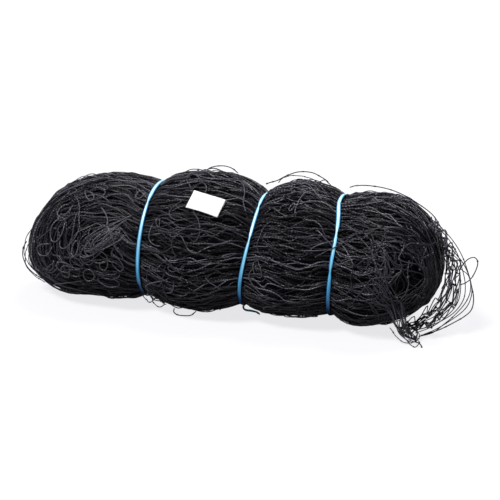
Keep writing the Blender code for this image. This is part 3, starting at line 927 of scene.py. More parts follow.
def lay_net(rng, layer):
    """Return the strands of one layer of net, and its knots, as points and directions."""
    rows, spread = layer["rows"], layer["spread"]
    nodes = int(round(1.15 / BAR / 2.0)) * 2
    row_at = np.linspace(0.006, 0.994, rows + 1) * np.pi
    row_at = row_at + rng.normal(0.0, 0.25, rows + 1) * np.pi / rows
    shift = rng.uniform(0.0, 1.0)
    node_run = (np.arange(nodes)[:, None] + rng.normal(0.0, 0.15, (nodes, rows + 1))) / nodes + shift
    node_row = row_at[None, :] + rng.normal(0.0, 0.24, (nodes, rows + 1)) * np.pi / rows
    node_in = layer["inset"] + rng.normal(0.0, spread, (nodes, rows + 1))
    strands = []
    for strand in range(rows):
        column = np.arange(nodes)
        row = strand + (column + strand) % 2
        at = np.stack([node_run[column, row], node_row[column, row], node_in[column, row]], -1)
        ahead = np.roll(at, -1, 0)
        ahead[-1, 0] += 1.0
        middle = 0.5 * (at + ahead)
        middle[:, 0] += rng.normal(0.0, 0.10, nodes) / nodes
        middle[:, 1] += rng.normal(0.0, 0.36, nodes) * np.pi / rows
        loose = rng.uniform(0.0, 1.0, nodes) < layer["proud"]
        middle[:, 2] += rng.normal(0.0, spread, nodes) - loose * rng.uniform(0.001, 0.0050, nodes)
        strands.append(np.stack([at, middle], 1).reshape(-1, 3))
    control = np.stack(strands)
    once_round = np.array([1.0, 0.0, 0.0])
    padded = np.concatenate([control[:, -1:] - once_round, control, control[:, :2] + once_round], 1)
    samples = max(2, int(round(BAR / 2.0 / SAMPLE)))
    fine = catmull(padded, samples, closed=False)[:, samples:samples + control.shape[1] * samples]
    flow = ripple(rng, (0.07, 0.16), (0.16, 0.5))
    drift = ripple(rng, (0.15, 0.4), (0.7, 1.6))
    seam = rng.uniform(-0.10, 0.10)

    def place(run, row, depth):
        """Return points of the skin for places along and across the rows."""
        x, angle = racetrack(run, np.clip(row, 0.012, np.pi - 0.012))
        wander = 0.034 * flow(x, angle) + 0.050 * drift(x, angle) + seam
        open_lobe = 1.0 - 0.6 * near_waist(x, 0.03)
        angle = angle - np.cos(angle) * sag(x) + wander * open_lobe
        tight = near_waist(x, 0.016)
        depth = depth * (1.0 - tight) + np.maximum(depth, 0.0018) * tight
        if layer["sunk"]:
            depth = depth + eye_depth(x, angle)
        return surface(x, angle, depth)

    lines = place(fine[..., 0], fine[..., 1], fine[..., 2])
    out = spine_out(lines)
    wiggle = smooth_noise(rng, lines.shape, 1.7) * 0.00062
    wiggle = wiggle * (1.0 - 0.7 * near_waist(lines[..., 0], 0.012))[..., None]
    lines = lines + wiggle
    keep_off_floor(lines)
    joined = [(c, r) for c in range(nodes) for r in range(1, rows) if (c + r) % 2 == 0]
    column, row = np.array(joined).T
    knots = place(node_run[column, row], node_row[column, row], node_in[column, row])
    ahead = place(node_run[column, row] + 0.004, node_row[column, row], node_in[column, row]) - knots
    return lines, out, knots, ahead


def outside_eyes(points):
    """Like region_of, but with no region for points away from the ends' openings."""
    regions = region_of(points)
    left = np.abs(points[..., 0] - EYE_LEFT + 0.025) < 0.060
    right = np.abs(points[..., 0] - EYE_RIGHT - 0.020) < 0.060
    return np.where(left | right, regions, -1)


# Painted shade: each deeper layer of net gets a darker colour and, through the shade, a weaker specular,
# standing in for the shadow inside the bundle.
DEEPER_PAINTED_SHADE = (1.0, 0.70, 0.40, 0.20, 0.10)
LAYER_FACTS = ("name", "rows", "inset", "spread", "proud", "sides", "knots", "sunk")
LAYERS = [dict(zip(LAYER_FACTS, facts)) for facts in (
    ("outer", 62, 0.0008, 0.0009, 0.10, 5, True, False),
    ("second", 74, 0.0024, 0.0009, 0.05, 5, True, False),
    ("third", 80, 0.0042, 0.0009, 0.02, 4, False, False),
    ("fourth", 80, 0.0062, 0.0009, 0.0, 4, False, False),
    ("inmost", 76, 0.0084, 0.0010, 0.0, 4, False, True),
)]


def build_regions(skeins, name):
    """Build one piece per region from its skein, with its placement baked into its mesh."""
    pieces = []
    for region, skein in enumerate(skeins):
        if not skein.total:
            pieces.append(None)
            continue
        piece = skein.build(f"{name}_{REGION_NAMES[region]}", NET)
        ride_bend(piece)
        pieces.append(piece)
    return pieces


def make_net():
    """Make the layers of net, each split where one bend of the bundle passes to the next."""
    pieces = []
    for number, layer in enumerate(LAYERS):
        rng = np.random.default_rng(SEED + number)
        skeins = [Skein() for _ in REGION_NAMES]
        lines, out, knots, ahead = lay_net(rng, layer)
        # Each strand's random tone, times its layer's painted shade.
        shade = np.clip(rng.gamma(1.4, 0.27, len(lines)), 0.03, 1.0) * DEEPER_PAINTED_SHADE[number]
        pick = outside_eyes if layer["sunk"] else region_of
        add_tubes(skeins, pick, lines, TWINE / 2.0, out, shade, layer["sides"], closed=True)
        if layer["knots"]:
            add_knots(skeins, region_of, knots, ahead, rng, 0.0015)
        pieces.extend(build_regions(skeins, f"net_{layer['name']}"))
    return pieces


def make_core():
    """Make the depth of the bundle, near black with painted shade, hollowed out behind the openings of
    its ends.
    """
    rng = np.random.default_rng(SEED + 50)
    lump = ripple(rng, (0.02, 0.06), (0.15, 0.5))
    bounds = (LEFT_NOSE["x"] + 0.016, *SPLITS, RIGHT_NOSE["x"] - 0.016)
    around = 72
    angle = 2.0 * np.pi * np.arange(around) / around
    for region in range(3):
        low, high = bounds[region], bounds[region + 1]
        stations = np.linspace(low, high, int((high - low) / 0.004) + 1)
        x, turn = np.meshgrid(stations, angle, indexing="ij")
        depth = 0.0105 + 0.0010 * lump(x, turn) + eye_depth(x, turn)
        points = surface(x, turn, depth)
        points[..., 2] = np.maximum(points[..., 2], 0.004)
        skein = Skein()
        add_strip(skein, points, stations, shade=0.0, closed=False)
        piece = skein.build(f"net_depth_painted_shade_{REGION_NAMES[region]}", CORE_PAINTED_SHADE)
        ride_bend(piece)


# ---------------------------------------------------------------- strands that stray from the lay
STRAY_SAMPLES = 36


def wandering_strays(rng, count):
    """Return strands that cross the lay at a slant, lifted off it between their ends."""
    lines = []
    while len(lines) < count:
        x = rng.uniform(LEFT_NOSE["x"] + 0.05, RIGHT_NOSE["x"] - 0.05)
        angle = rng.uniform(0.0, 2.0 * np.pi)
        length = rng.uniform(0.035, 0.105)
        heading = rng.choice((0.0, np.pi)) + rng.normal(0.0, 0.42)
        swing = np.cumsum(smooth_noise(rng, (1, STRAY_SAMPLES, 1), 4.0)[0, :, 0]) * 0.075
        headings = heading + swing
        step = length / STRAY_SAMPLES
        xs = x + np.cumsum(np.cos(headings)) * step
        angles = angle + np.cumsum(np.sin(headings)) * step / 0.093
        crosses = any((xs.min() < w["x"] + 0.009) and (xs.max() > w["x"] - 0.009) for w in WAISTS)
        if crosses or xs.min() < LEFT_NOSE["x"] + 0.012 or xs.max() > RIGHT_NOSE["x"] - 0.012:
            continue
        share = np.linspace(0.0, 1.0, STRAY_SAMPLES)
        lift = rng.uniform(0.0008, 0.0034) * np.sin(np.pi * share) ** 0.6
        depth = 0.0035 * (1.0 - np.sin(np.pi * share) ** 0.5) - lift
        lines.append(surface(xs, angles, depth))
    lines = np.stack(lines)
    keep_off_floor(lines)
    return lines


def resample(points, count):
    """Return count evenly spaced points on a smooth curve through the given points."""
    fine = catmull(np.array(points, float)[None], 12, closed=False)[0]
    return spread_evenly(fine, run_along(fine), count)


def swirling_strays(rng, count):
    """Return strands that sweep down and round the opening in the front of lobe 4."""
    lines = []
    share = np.linspace(0.0, 1.0, STRAY_SAMPLES)
    for _ in range(count):
        x = rng.uniform(0.192, 0.232)
        angle = rng.uniform(2.25, 3.45)
        length = rng.uniform(0.035, 0.070)
        heading = rng.uniform(-0.15, 0.65) + share * rng.uniform(0.5, 1.7)
        heading = heading + np.cumsum(smooth_noise(rng, (1, STRAY_SAMPLES, 1), 4.0)[0, :, 0]) * 0.05
        step = length / STRAY_SAMPLES
        xs = np.minimum(x + np.cumsum(np.cos(heading)) * step, RIGHT_NOSE["x"] - 0.014)
        angles = angle + np.cumsum(np.sin(heading)) * step / 0.090
        lift = rng.uniform(0.0008, 0.0030) * np.sin(np.pi * share) ** 0.6
        depth = 0.0040 * (1.0 - np.sin(np.pi * share) ** 0.5) - lift
        lines.append(surface(xs, angles, depth))
    return np.stack(lines)


def falling_strands(rng, count):
    """Return strands that leave the front of lobe 4 and fall to the floor before it."""
    lines = []
    for _ in range(count):
        x = rng.uniform(0.222, 0.242)
        turn = rng.normal(0.0, 0.06)
        upper = [surface(np.array(x + slide), np.array(angle + turn), -0.0018)
                 for slide, angle in ((0.0, 3.14), (0.010, 3.30), (0.021, 3.48), (0.030, 3.60))]
        lower = [np.array([x + 0.040, -0.086, 0.034]), np.array([x + 0.048, -0.077, 0.018]),
                 np.array([x + 0.058, -0.072, 0.007])]
        route = np.array([*upper, *lower])
        route[1:] += rng.normal(0.0, 0.0022, (len(route) - 1, 3))
        route[-1] += (rng.uniform(-0.006, 0.010), rng.uniform(-0.008, 0.004), rng.uniform(0.0, 0.008))
        lines.append(resample(route, STRAY_SAMPLES))
    return np.stack(lines)


# Strands that cross the front of lobe 4: places along X with angles round the front.
# Most of them were worked out by a program from places in the photo.
CROSSINGS = (
    ((0.197, 139), (0.228, 154), (0.236, 173), (0.247, 181), (0.257, 194),
     (0.260, 210), (0.268, 222)),
    ((0.205, 201), (0.217, 186), (0.234, 173), (0.256, 175), (0.269, 166),
     (0.264, 154), (0.273, 140),
     (0.295, 129), (0.305, 103)),
    ((0.268, 139), (0.267, 149), (0.264, 156), (0.275, 159), (0.290, 159), (0.300, 164)),
    ((0.281, 153), (0.295, 148), (0.307, 128)),
    ((0.290, 165), (0.294, 143), (0.297, 125)),
    ((0.199, 186), (0.201, 177), (0.202, 164), (0.210, 157), (0.212, 163), (0.217, 171)),
    ((0.222, 148), (0.228, 156), (0.251, 179), (0.263, 171), (0.273, 168)),
    ((0.239, 134), (0.243, 142), (0.259, 153), (0.260, 167), (0.248, 178), (0.236, 186)),
    ((0.276, 158), (0.276, 165), (0.279, 183), (0.275, 194), (0.266, 204)),
    ((0.262, 196), (0.272, 198), (0.287, 199), (0.300, 217)),
    ((0.215, 140), (0.232, 146), (0.246, 160), (0.250, 178), (0.262, 196), (0.278, 212)),
    ((0.208, 166), (0.226, 168), (0.246, 174), (0.262, 190), (0.270, 208)),
    # Two that pass over the third tie, from lobe 3 to lobe 4.
    ((0.138, 158), (0.156, 151), (0.170, 148), (0.186, 154), (0.205, 166)),
    ((0.142, 141), (0.158, 149), (0.170, 156), (0.182, 160), (0.198, 158)),
    ((0.146, 164), (0.160, 158), (0.171, 153), (0.184, 146), (0.204, 142)),
)

# Loops of slack twine on lobe 1: place, angle round the front, half length, half width,
# turn from the X axis in degrees, how many times round, and how pointed it is.
CURLS = (
    (-0.241, 156, 0.0165, 0.0100, 72, 1.15, 0.0),
    (-0.262, 176, 0.0150, 0.0095, 20, 0.90, 0.2),
    (-0.206, 188, 0.0100, 0.0085, 10, 1.20, 0.0),
    (-0.187, 199, 0.0105, 0.0080, 80, 1.30, 0.1),
    (-0.158, 206, 0.0135, 0.0085, 160, 0.95, 0.0),
    (-0.221, 160, 0.0220, 0.0120, 65, 0.62, 0.0),
    (-0.205, 164, 0.0260, 0.0150, 62, 0.55, 0.0),
    (-0.156, 152, 0.0340, 0.0085, 38, 1.00, 0.9),
    (-0.153, 150, 0.0270, 0.0060, 36, 1.00, 0.9),
    (-0.160, 160, 0.0250, 0.0100, 44, 0.85, 0.7),
    (-0.173, 178, 0.0140, 0.0100, 150, 0.75, 0.0),
    (-0.190, 176, 0.0180, 0.0110, 110, 0.70, 0.0),
    (-0.205, 122, 0.0090, 0.0070, 130, 1.05, 0.5),
    (-0.130, 116, 0.0070, 0.0055, 50, 1.20, 0.2),
    (-0.235, 136, 0.0140, 0.0080, 40, 0.80, 0.2),
    (-0.226, 192, 0.0130, 0.0080, 170, 1.10, 0.1),
    (-0.145, 184, 0.0150, 0.0070, 120, 0.75, 0.1),
    (-0.247, 196, 0.0140, 0.0060, 30, 0.80, 0.3),
)


def surface_frame(x, angle):
    """Return a point of the skin and unit directions along X, round it and out of it."""
    here = surface(np.array(x), np.array(angle), 0.0)
    along = surface(np.array(x + 0.002), np.array(angle), 0.0) - here
    around = surface(np.array(x), np.array(angle + 0.02), 0.0) - here
    along /= np.linalg.norm(along)
    around -= along * (around @ along)
    around /= np.linalg.norm(around)
    out = np.cross(along, around)
    if out @ spine_out(here) < 0.0:
        out = -out
    return here, along, around, out


def curl_line(rng, x, angle, half_length, half_width, turn, times, pointed):
    """Return one loop of slack twine that lies on the skin, its ends tucked in."""
    here, along, around, out = surface_frame(x, math.radians(angle))
    turn = math.radians(turn)
    long_way = along * math.cos(turn) - around * math.sin(turn)
    cross_way = along * math.sin(turn) + around * math.cos(turn)
    start = rng.uniform(0.0, 0.6)
    sweep = start + np.linspace(0.0, 2.0 * np.pi * times, STRAY_SAMPLES)
    pinch = 1.0 - pointed * (0.5 + 0.5 * np.cos(sweep)) ** 0.7
    grow = 1.0 + 0.10 * np.sin(2.0 * sweep + rng.uniform(0.0, 6.0)) + 0.06 * sweep / np.pi
    across = half_width * np.sin(sweep) * pinch * grow
    length = half_length * np.cos(sweep) * grow
    share = np.linspace(0.0, 1.0, STRAY_SAMPLES)
    lift = 0.0022 + 0.0016 * np.sin(sweep * 1.3 + rng.uniform(0.0, 6.0))
    lift = lift - 0.006 * (np.exp(-share / 0.06) + np.exp(-(1.0 - share) / 0.06))
    fall = (length ** 2 + across ** 2) / (2.0 * 0.092)
    line = here + length[:, None] * long_way + across[:, None] * cross_way
    line = line + (lift - fall)[:, None] * out
    return line


def nested_curls(rng, count):
    """Return long drop-shaped loops, one inside another, round the opening of lobe 1."""
    lines = []
    for step in range(count):
        half_length = 0.016 + 0.026 * step / count
        x = -0.168 - 0.10 * half_length + rng.normal(0.0, 0.002)
        angle = 163.0 + rng.normal(0.0, 3.0)
        half_width = half_length * rng.uniform(0.36, 0.52)
        turn = rng.normal(42.0, 6.0)
        times, pointed = rng.uniform(0.60, 0.95), rng.uniform(0.3, 0.7)
        lines.append(curl_line(rng, x, angle, half_length, half_width, turn, times, pointed))
    return lines


def random_curls(rng, count):
    """Return more small loops, spread over the lobes and thickest on lobe 1."""
    lines = []
    while len(lines) < count:
        x = rng.uniform(-0.270, -0.140) if rng.uniform() < 0.45 else rng.uniform(-0.09, 0.24)
        if near_waist(np.array(x), 0.022) > 0.0:
            continue
        half_length = rng.uniform(0.005, 0.013)
        angle = rng.uniform(20.0, 340.0)
        half_width = half_length * rng.uniform(0.4, 0.9)
        turn = rng.uniform(0.0, 180.0)
        times, pointed = rng.uniform(0.5, 1.2), rng.uniform(0.0, 0.5)
        lines.append(curl_line(rng, x, angle, half_length, half_width, turn, times, pointed))
    return lines


def top_arcs(rng, count):
    """Return low arcs of twine that stand off the tops and ends of the lobes."""
    lines = []
    while len(lines) < count:
        x = rng.uniform(LEFT_NOSE["x"] + 0.03, RIGHT_NOSE["x"] - 0.03)
        length = rng.uniform(0.018, 0.045) * rng.choice((-1.0, 1.0))
        low, high = min(x, x + length), max(x, x + length)
        if any(low < w["x"] + 0.010 and high > w["x"] - 0.010 for w in WAISTS):
            continue
        share = np.linspace(0.0, 1.0, STRAY_SAMPLES)
        angle = math.radians(rng.uniform(48.0, 100.0)) + rng.normal(0.0, 0.10) * share
        rise = rng.uniform(0.0010, 0.0044)
        depth = 0.002 - (0.002 + rise) * np.sin(np.pi * share) ** 0.8
        xs = np.clip(x + length * share, LEFT_NOSE["x"] + 0.01, RIGHT_NOSE["x"] - 0.01)
        lines.append(surface(xs, angle, depth))
    return lines


def make_strays():
    """Make every strand that strays from the lay: slants, crossings, curls and arcs."""
    rng = np.random.default_rng(SEED + 60)
    groups = [wandering_strays(rng, 150)]
    crossings = []
    for route in CROSSINGS:
        fine = resample(route, STRAY_SAMPLES)
        share = np.linspace(0.0, 1.0, STRAY_SAMPLES)
        lift = 0.0016 + 0.0012 * np.sin(7.0 * share + rng.uniform(0.0, 6.0))
        depth = 0.004 * (np.exp(-share / 0.05) + np.exp(-(1.0 - share) / 0.05)) - lift
        crossings.append(surface(fine[:, 0], np.radians(fine[:, 1]), depth))
    groups.append(np.stack(crossings))
    curls = [curl_line(rng, *curl) for curl in CURLS] + nested_curls(rng, 14)
    curls += random_curls(rng, 40) + top_arcs(rng, 60)
    groups.append(np.stack(curls))
    groups.append(swirling_strays(rng, 30))
    groups.append(falling_strands(rng, 13))
    lines = np.concatenate(groups)
    lines = lines + smooth_noise(rng, lines.shape, 2.2) * 0.00035
    keep_off_floor(lines)
    skeins = [Skein() for _ in REGION_NAMES]
    shade = np.clip(rng.normal(0.62, 0.25, len(lines)), 0.15, 1.0)
    first_curl = len(groups[0]) + len(CROSSINGS)
    shade[first_curl:first_curl + len(CURLS)] = rng.uniform(0.5, 0.85, len(CURLS))
    middles = lines.mean(1)
    # Painted shade: strays low on the front of lobe 4 are darkened to stand in for the shadow there.
    shade[(middles[:, 0] > 0.19) & (middles[:, 1] < -0.04) & (middles[:, 2] < 0.15)] *= 0.55
    add_tubes(skeins, region_of, lines, TWINE * 0.46, spine_out(lines), shade, 6)
    ends = lines[len(groups[0]):len(groups[0]) + len(CROSSINGS), ::12].reshape(-1, 3)
    ahead = rng.standard_normal(ends.shape)
    add_knots(skeins, region_of, ends, ahead, rng, 0.0018)
    build_regions(skeins, "net_strays")


# The bunch that stands off the right end: X and height along its inner and outer edge.
# Most of them were worked out by a program from places in the photo.
BUNCH_INNER = (
    (0.2930, 0.1660), (0.3015, 0.1611), (0.3115, 0.1413), (0.3172, 0.1194), (0.3192, 0.0970),
    (0.3180, 0.0757),
    (0.3110, 0.0552), (0.2968, 0.0384), (0.2773, 0.0222), (0.2559, 0.0120),
)
BUNCH_OUTER = (
    (0.3000, 0.1640), (0.3102, 0.1545), (0.3251, 0.1352), (0.3351, 0.1169), (0.3417, 0.0966),
    (0.3441, 0.0757),
    (0.3395, 0.0539), (0.3270, 0.0341), (0.3049, 0.0154), (0.2738, 0.0060),
)
BUNCH_STRANDS = 17
BUNCH_NODES = 19
EDGE_POINTS = 121


def make_bunch():
    """Make the strands of net that hang off the right end, meshing with their neighbours."""
    rng = np.random.default_rng(SEED + 70)
    inner, outer = resample(BUNCH_INNER, EDGE_POINTS), resample(BUNCH_OUTER, EDGE_POINTS)
    nodes = BUNCH_NODES
    lines = []
    knots = []
    bars = np.linspace(0.0, 1.0, nodes)
    slots = np.sort(rng.uniform(0.0, 1.0, BUNCH_STRANDS + 1))
    depths = rng.uniform(-0.038, 0.010, BUNCH_STRANDS + 1)
    node_slot = slots[None, :] + rng.normal(0.0, 0.05, (nodes, BUNCH_STRANDS + 1))
    node_bar = bars[:, None] + rng.normal(0.0, 0.012, (nodes, BUNCH_STRANDS + 1))
    for strand in range(BUNCH_STRANDS):
        column = np.arange(nodes)
        row = strand + (column + strand) % 2
        share = np.clip(node_bar[column, row], 0.0, 1.0)
        slot = np.clip(node_slot[column, row], -0.04, 1.06)
        slot[1:-1] += rng.normal(0.0, 0.03, nodes - 2)
        place = share * (EDGE_POINTS - 1.0)
        marks = np.arange(EDGE_POINTS)
        low = np.stack([np.interp(place, marks, inner[:, axis]) for axis in range(2)], 1)
        high = np.stack([np.interp(place, marks, outer[:, axis]) for axis in range(2)], 1)
        flat = low + (high - low) * slot[:, None]
        y = depths[row] - 0.022 * share ** 2
        control = np.stack([flat[:, 0], y, flat[:, 1]], 1)
        line = resample(control, 96)
        lines.append(line)
        knots.extend(control[1:-1:2])
    lines = np.stack(lines)
    lines = lines + smooth_noise(rng, lines.shape, 3.0) * 0.0005
    keep_off_floor(lines)
    hint = np.broadcast_to(np.array([0.0, 1.0, 0.0]), lines.shape)
    skeins = [Skein() for _ in REGION_NAMES]
    shade = np.clip(rng.normal(0.45, 0.2, len(lines)), 0.1, 0.9)
    add_tubes(skeins, region_of, lines, TWINE * 0.46, hint, shade, 6)
    knots = np.array(knots)
    add_knots(skeins, region_of, knots, rng.standard_normal(knots.shape), rng, 0.0017)
    build_regions(skeins, "net_bunch")


# Single strands that stand off the two ends: X, depth and height along each.
FRINGES = (
    ((0.2960, -0.020, 0.1700), (0.3180, -0.022, 0.1500), (0.3340, -0.022, 0.1280),
     (0.3450, -0.022, 0.1020),
     (0.3500, -0.022, 0.0780), (0.3480, -0.022, 0.0560), (0.3360, -0.024, 0.0360),
     (0.3160, -0.026, 0.0190),
     (0.2920, -0.030, 0.0080)),
    ((0.2880, -0.016, 0.1765), (0.3120, -0.016, 0.1580), (0.3330, -0.016, 0.1330),
     (0.3475, -0.016, 0.1060),
     (0.3560, -0.016, 0.0800), (0.3570, -0.016, 0.0580), (0.3500, -0.018, 0.0400),
     (0.3320, -0.022, 0.0220),
     (0.3120, -0.028, 0.0080), (0.2960, -0.034, 0.0015)),
    ((0.3140, -0.030, 0.1420), (0.3300, -0.030, 0.1240), (0.3420, -0.030, 0.1010),
     (0.3440, -0.031, 0.0700),
     (0.3380, -0.033, 0.0480), (0.3240, -0.036, 0.0300), (0.3060, -0.040, 0.0160),
     (0.2840, -0.046, 0.0080)),
    ((0.3400, -0.010, 0.0980), (0.3520, -0.010, 0.0880), (0.3560, -0.010, 0.0700),
     (0.3520, -0.011, 0.0520),
     (0.3400, -0.014, 0.0330), (0.3220, -0.020, 0.0150), (0.3060, -0.030, 0.0040),
     (0.2900, -0.042, 0.0014)),
    ((-0.3000, -0.030, 0.1050), (-0.3110, -0.031, 0.0900), (-0.3160, -0.031, 0.0740),
     (-0.3165, -0.031, 0.0580),
     (-0.3120, -0.031, 0.0450), (-0.3030, -0.031, 0.0350), (-0.2900, -0.031, 0.0270),
     (-0.2760, -0.032, 0.0210)),
    ((-0.3060, -0.040, 0.0800), (-0.3120, -0.040, 0.0660), (-0.3125, -0.040, 0.0520),
     (-0.3060, -0.040, 0.0390),
     (-0.2950, -0.041, 0.0290), (-0.2800, -0.042, 0.0220)),
    ((-0.3090, -0.020, 0.0640), (-0.3150, -0.022, 0.0520), (-0.3120, -0.024, 0.0400),
     (-0.3000, -0.026, 0.0310),
     (-0.2860, -0.030, 0.0240), (-0.2700, -0.036, 0.0170)),
    ((-0.2480, -0.030, 0.0260), (-0.2570, -0.032, 0.0200), (-0.2560, -0.034, 0.0130),
     (-0.2470, -0.034, 0.0100),
     (-0.2390, -0.030, 0.0140)),
    ((-0.1280, -0.034, 0.0180), (-0.1220, -0.036, 0.0100), (-0.1140, -0.036, 0.0060),
     (-0.1080, -0.030, 0.0120)),
    ((-0.1120, -0.040, 0.0200), (-0.1060, -0.046, 0.0100), (-0.0960, -0.048, 0.0050),
     (-0.0870, -0.042, 0.0080)),
    ((0.2560, -0.070, 0.0330), (0.2640, -0.074, 0.0220), (0.2740, -0.072, 0.0130),
     (0.2830, -0.066, 0.0080),
     (0.2890, -0.058, 0.0100), (0.2860, -0.052, 0.0180), (0.2770, -0.050, 0.0230)),
    ((0.2520, -0.066, 0.0200), (0.2620, -0.072, 0.0100), (0.2720, -0.074, 0.0040),
     (0.2820, -0.070, 0.0014),
     (0.2900, -0.062, 0.0030), (0.2930, -0.054, 0.0090), (0.2880, -0.048, 0.0140)),
    ((0.2660, -0.060, 0.0120), (0.2760, -0.068, 0.0050), (0.2860, -0.076, 0.0014),
     (0.2930, -0.080, 0.0013),
     (0.2960, -0.074, 0.0040), (0.2910, -0.066, 0.0080)),
    ((0.1180, 0.030, 0.1890), (0.1260, 0.030, 0.1960), (0.1350, 0.030, 0.1965),
     (0.1430, 0.030, 0.1900),
     (0.1480, 0.030, 0.1830)),
    ((0.0640, 0.030, 0.1880), (0.0720, 0.030, 0.1960), (0.0860, 0.030, 0.2005),
     (0.1010, 0.030, 0.2010),
     (0.1160, 0.030, 0.1975), (0.1280, 0.030, 0.1900)),
    ((0.2000, 0.020, 0.1890), (0.2220, 0.020, 0.1895), (0.2440, 0.020, 0.1840),
     (0.2660, 0.020, 0.1720),
     (0.2860, 0.018, 0.1560), (0.2960, 0.016, 0.1440)),
)
FRINGE_SAMPLES = 72


def make_fringes():
    """Make the single strands that stand off the ends and tops, each with a few knots."""
    rng = np.random.default_rng(SEED + 75)
    lines = np.stack([resample(route, FRINGE_SAMPLES) for route in FRINGES])
    lines = lines + smooth_noise(rng, lines.shape, 4.0) * 0.0005
    keep_off_floor(lines)
    hint = np.broadcast_to(np.array([0.0, 1.0, 0.0]), lines.shape)
    skeins = [Skein() for _ in REGION_NAMES]
    shade = np.clip(rng.normal(0.6, 0.15, len(lines)), 0.3, 0.9)
    add_tubes(skeins, region_of, lines, TWINE * 0.42, hint, shade, 6)
    places = np.arange(9, FRINGE_SAMPLES - 4, 17)
    knots = lines[:, places].reshape(-1, 3)
    ahead = (lines[:, places + 1] - lines[:, places - 1]).reshape(-1, 3)
    add_knots(skeins, region_of, knots, ahead, rng, 0.0014)
    build_regions(skeins, "net_fringe")


net_pieces = make_net()
make_core()
make_strays()
make_bunch()
make_fringes()
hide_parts("net_lobe_1")
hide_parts("net_lobe_2", "net_lobe_3")
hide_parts("net_lobe_4")


# ---------------------------------------------------------------- ties
TIE_WIDTH = 0.0062
NICKS = ((123.0, 215.0), (112.0, 150.0), (140.0, 176.0))
KNOT_PLACES = (20.0, 275.0, 20.0)


def make_tie(index, rng):
    """Make one tie: ribbon pleated along its length, pinched where it has a twist."""
    waist = WAISTS[index]
    rows = 220
    angle = np.linspace(0.0, 2.0 * np.pi, rows, endpoint=False)
    degrees = np.degrees(angle)
    middle = (waist["low"] + waist["high"]) / 2.0
    rise = (waist["high"] - waist["low"]) / 2.0
    tight = 0.0003
    center = np.stack([
        np.full(rows, waist["x"]),
        (waist["half"] + tight) * np.cos(angle),
        middle + (rise + tight) * np.sin(angle),
    ], 1)
    center[:, 2] = np.maximum(center[:, 2], 0.0006)
    center[:, 0] += crooked(center[:, 0], center[:, 2])
    sway = smooth_noise(rng, (1, rows, 1), 9.0)[0, :, 0]
    center[:, 0] += 0.0004 * sway
    out = np.stack([np.zeros(rows), np.cos(angle) / waist["half"], np.sin(angle) / rise], 1)
    out /= np.linalg.norm(out, axis=1, keepdims=True)
    across = np.array([1.0, 0.0, 0.0])
    pinch = np.ones(rows)
    twist = np.zeros(rows)
    for nick in NICKS[index]:
        gap = (degrees - nick) / 4.0
        pinch -= 0.42 * np.exp(-gap ** 2)
        twist += 0.9 * np.tanh(gap) * np.exp(-(gap / 3.0) ** 2)
    width = TIE_WIDTH * pinch * (1.0 + 0.06 * smooth_noise(rng, (1, rows, 1), 7.0)[0, :, 0])
    pleats = 11
    place = np.linspace(-0.5, 0.5, pleats)
    creases = smooth_noise(rng, (pleats, rows, 1), 14.0)[:, :, 0].T
    crown = 0.0012 * (1.0 - (2.0 * place) ** 2)[None, :] + 0.00022 * creases
    crown = np.maximum(crown, 0.0) + 0.0006
    upper = center[:, None, :] + (width[:, None] * place[None, :])[..., None] * across
    lean_out = twist[:, None] * place[None, :] * 0.0018
    upper = upper + (crown + lean_out)[..., None] * out[:, None, :]
    lower_place = place[::-1][1:-1:2]
    lower = center[:, None, :] + (width[:, None] * lower_place[None, :])[..., None] * across
    lower = lower + (0.0002 + twist[:, None] * lower_place[None, :] * 0.0018)[..., None] * out[:, None, :]
    rings = np.concatenate([upper, lower], 1)
    rings[..., 2] = np.maximum(rings[..., 2], 0.0002)
    # Painted shade: the ribbon darkens towards its edges.
    edge_painted_shade = 1.0 - 0.95 * ease(np.abs(place), 0.22, 0.46)
    # Painted light: the ribbon is lighter on top of the waist, where light from above falls.
    high = 0.5 + 0.5 * np.sin(angle)
    # Painted shade: the ribbon darkens low on the waist.
    under = 1.0 - 0.9 * ease(-np.sin(angle), 0.40, 0.75)
    # The streaks are the ribbon's own tone.
    streaks = 0.09 * smooth_noise(rng, (pleats, rows, 1), 8.0)[:, :, 0].T
    upper_painted_light_and_shade = (0.40 + 0.66 * high)[:, None] * under[:, None] * edge_painted_shade[None, :] + streaks
    # Painted shade: the ribbon's inner face, against the net, is dark.
    shade = np.concatenate([upper_painted_light_and_shade, np.full((rows, len(lower_place)), 0.1)], 1)
    run = angle * 0.5 * (waist["half"] + rise)
    skein = Skein()
    add_strip(skein, rings[:, ::-1], run, shade[:, ::-1], closed=True)
    piece = skein.build(f"tie_{index + 1}_ribbon", RAFFIA)
    ride_bend(piece)
    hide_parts(f"tie_{index + 1}_band")


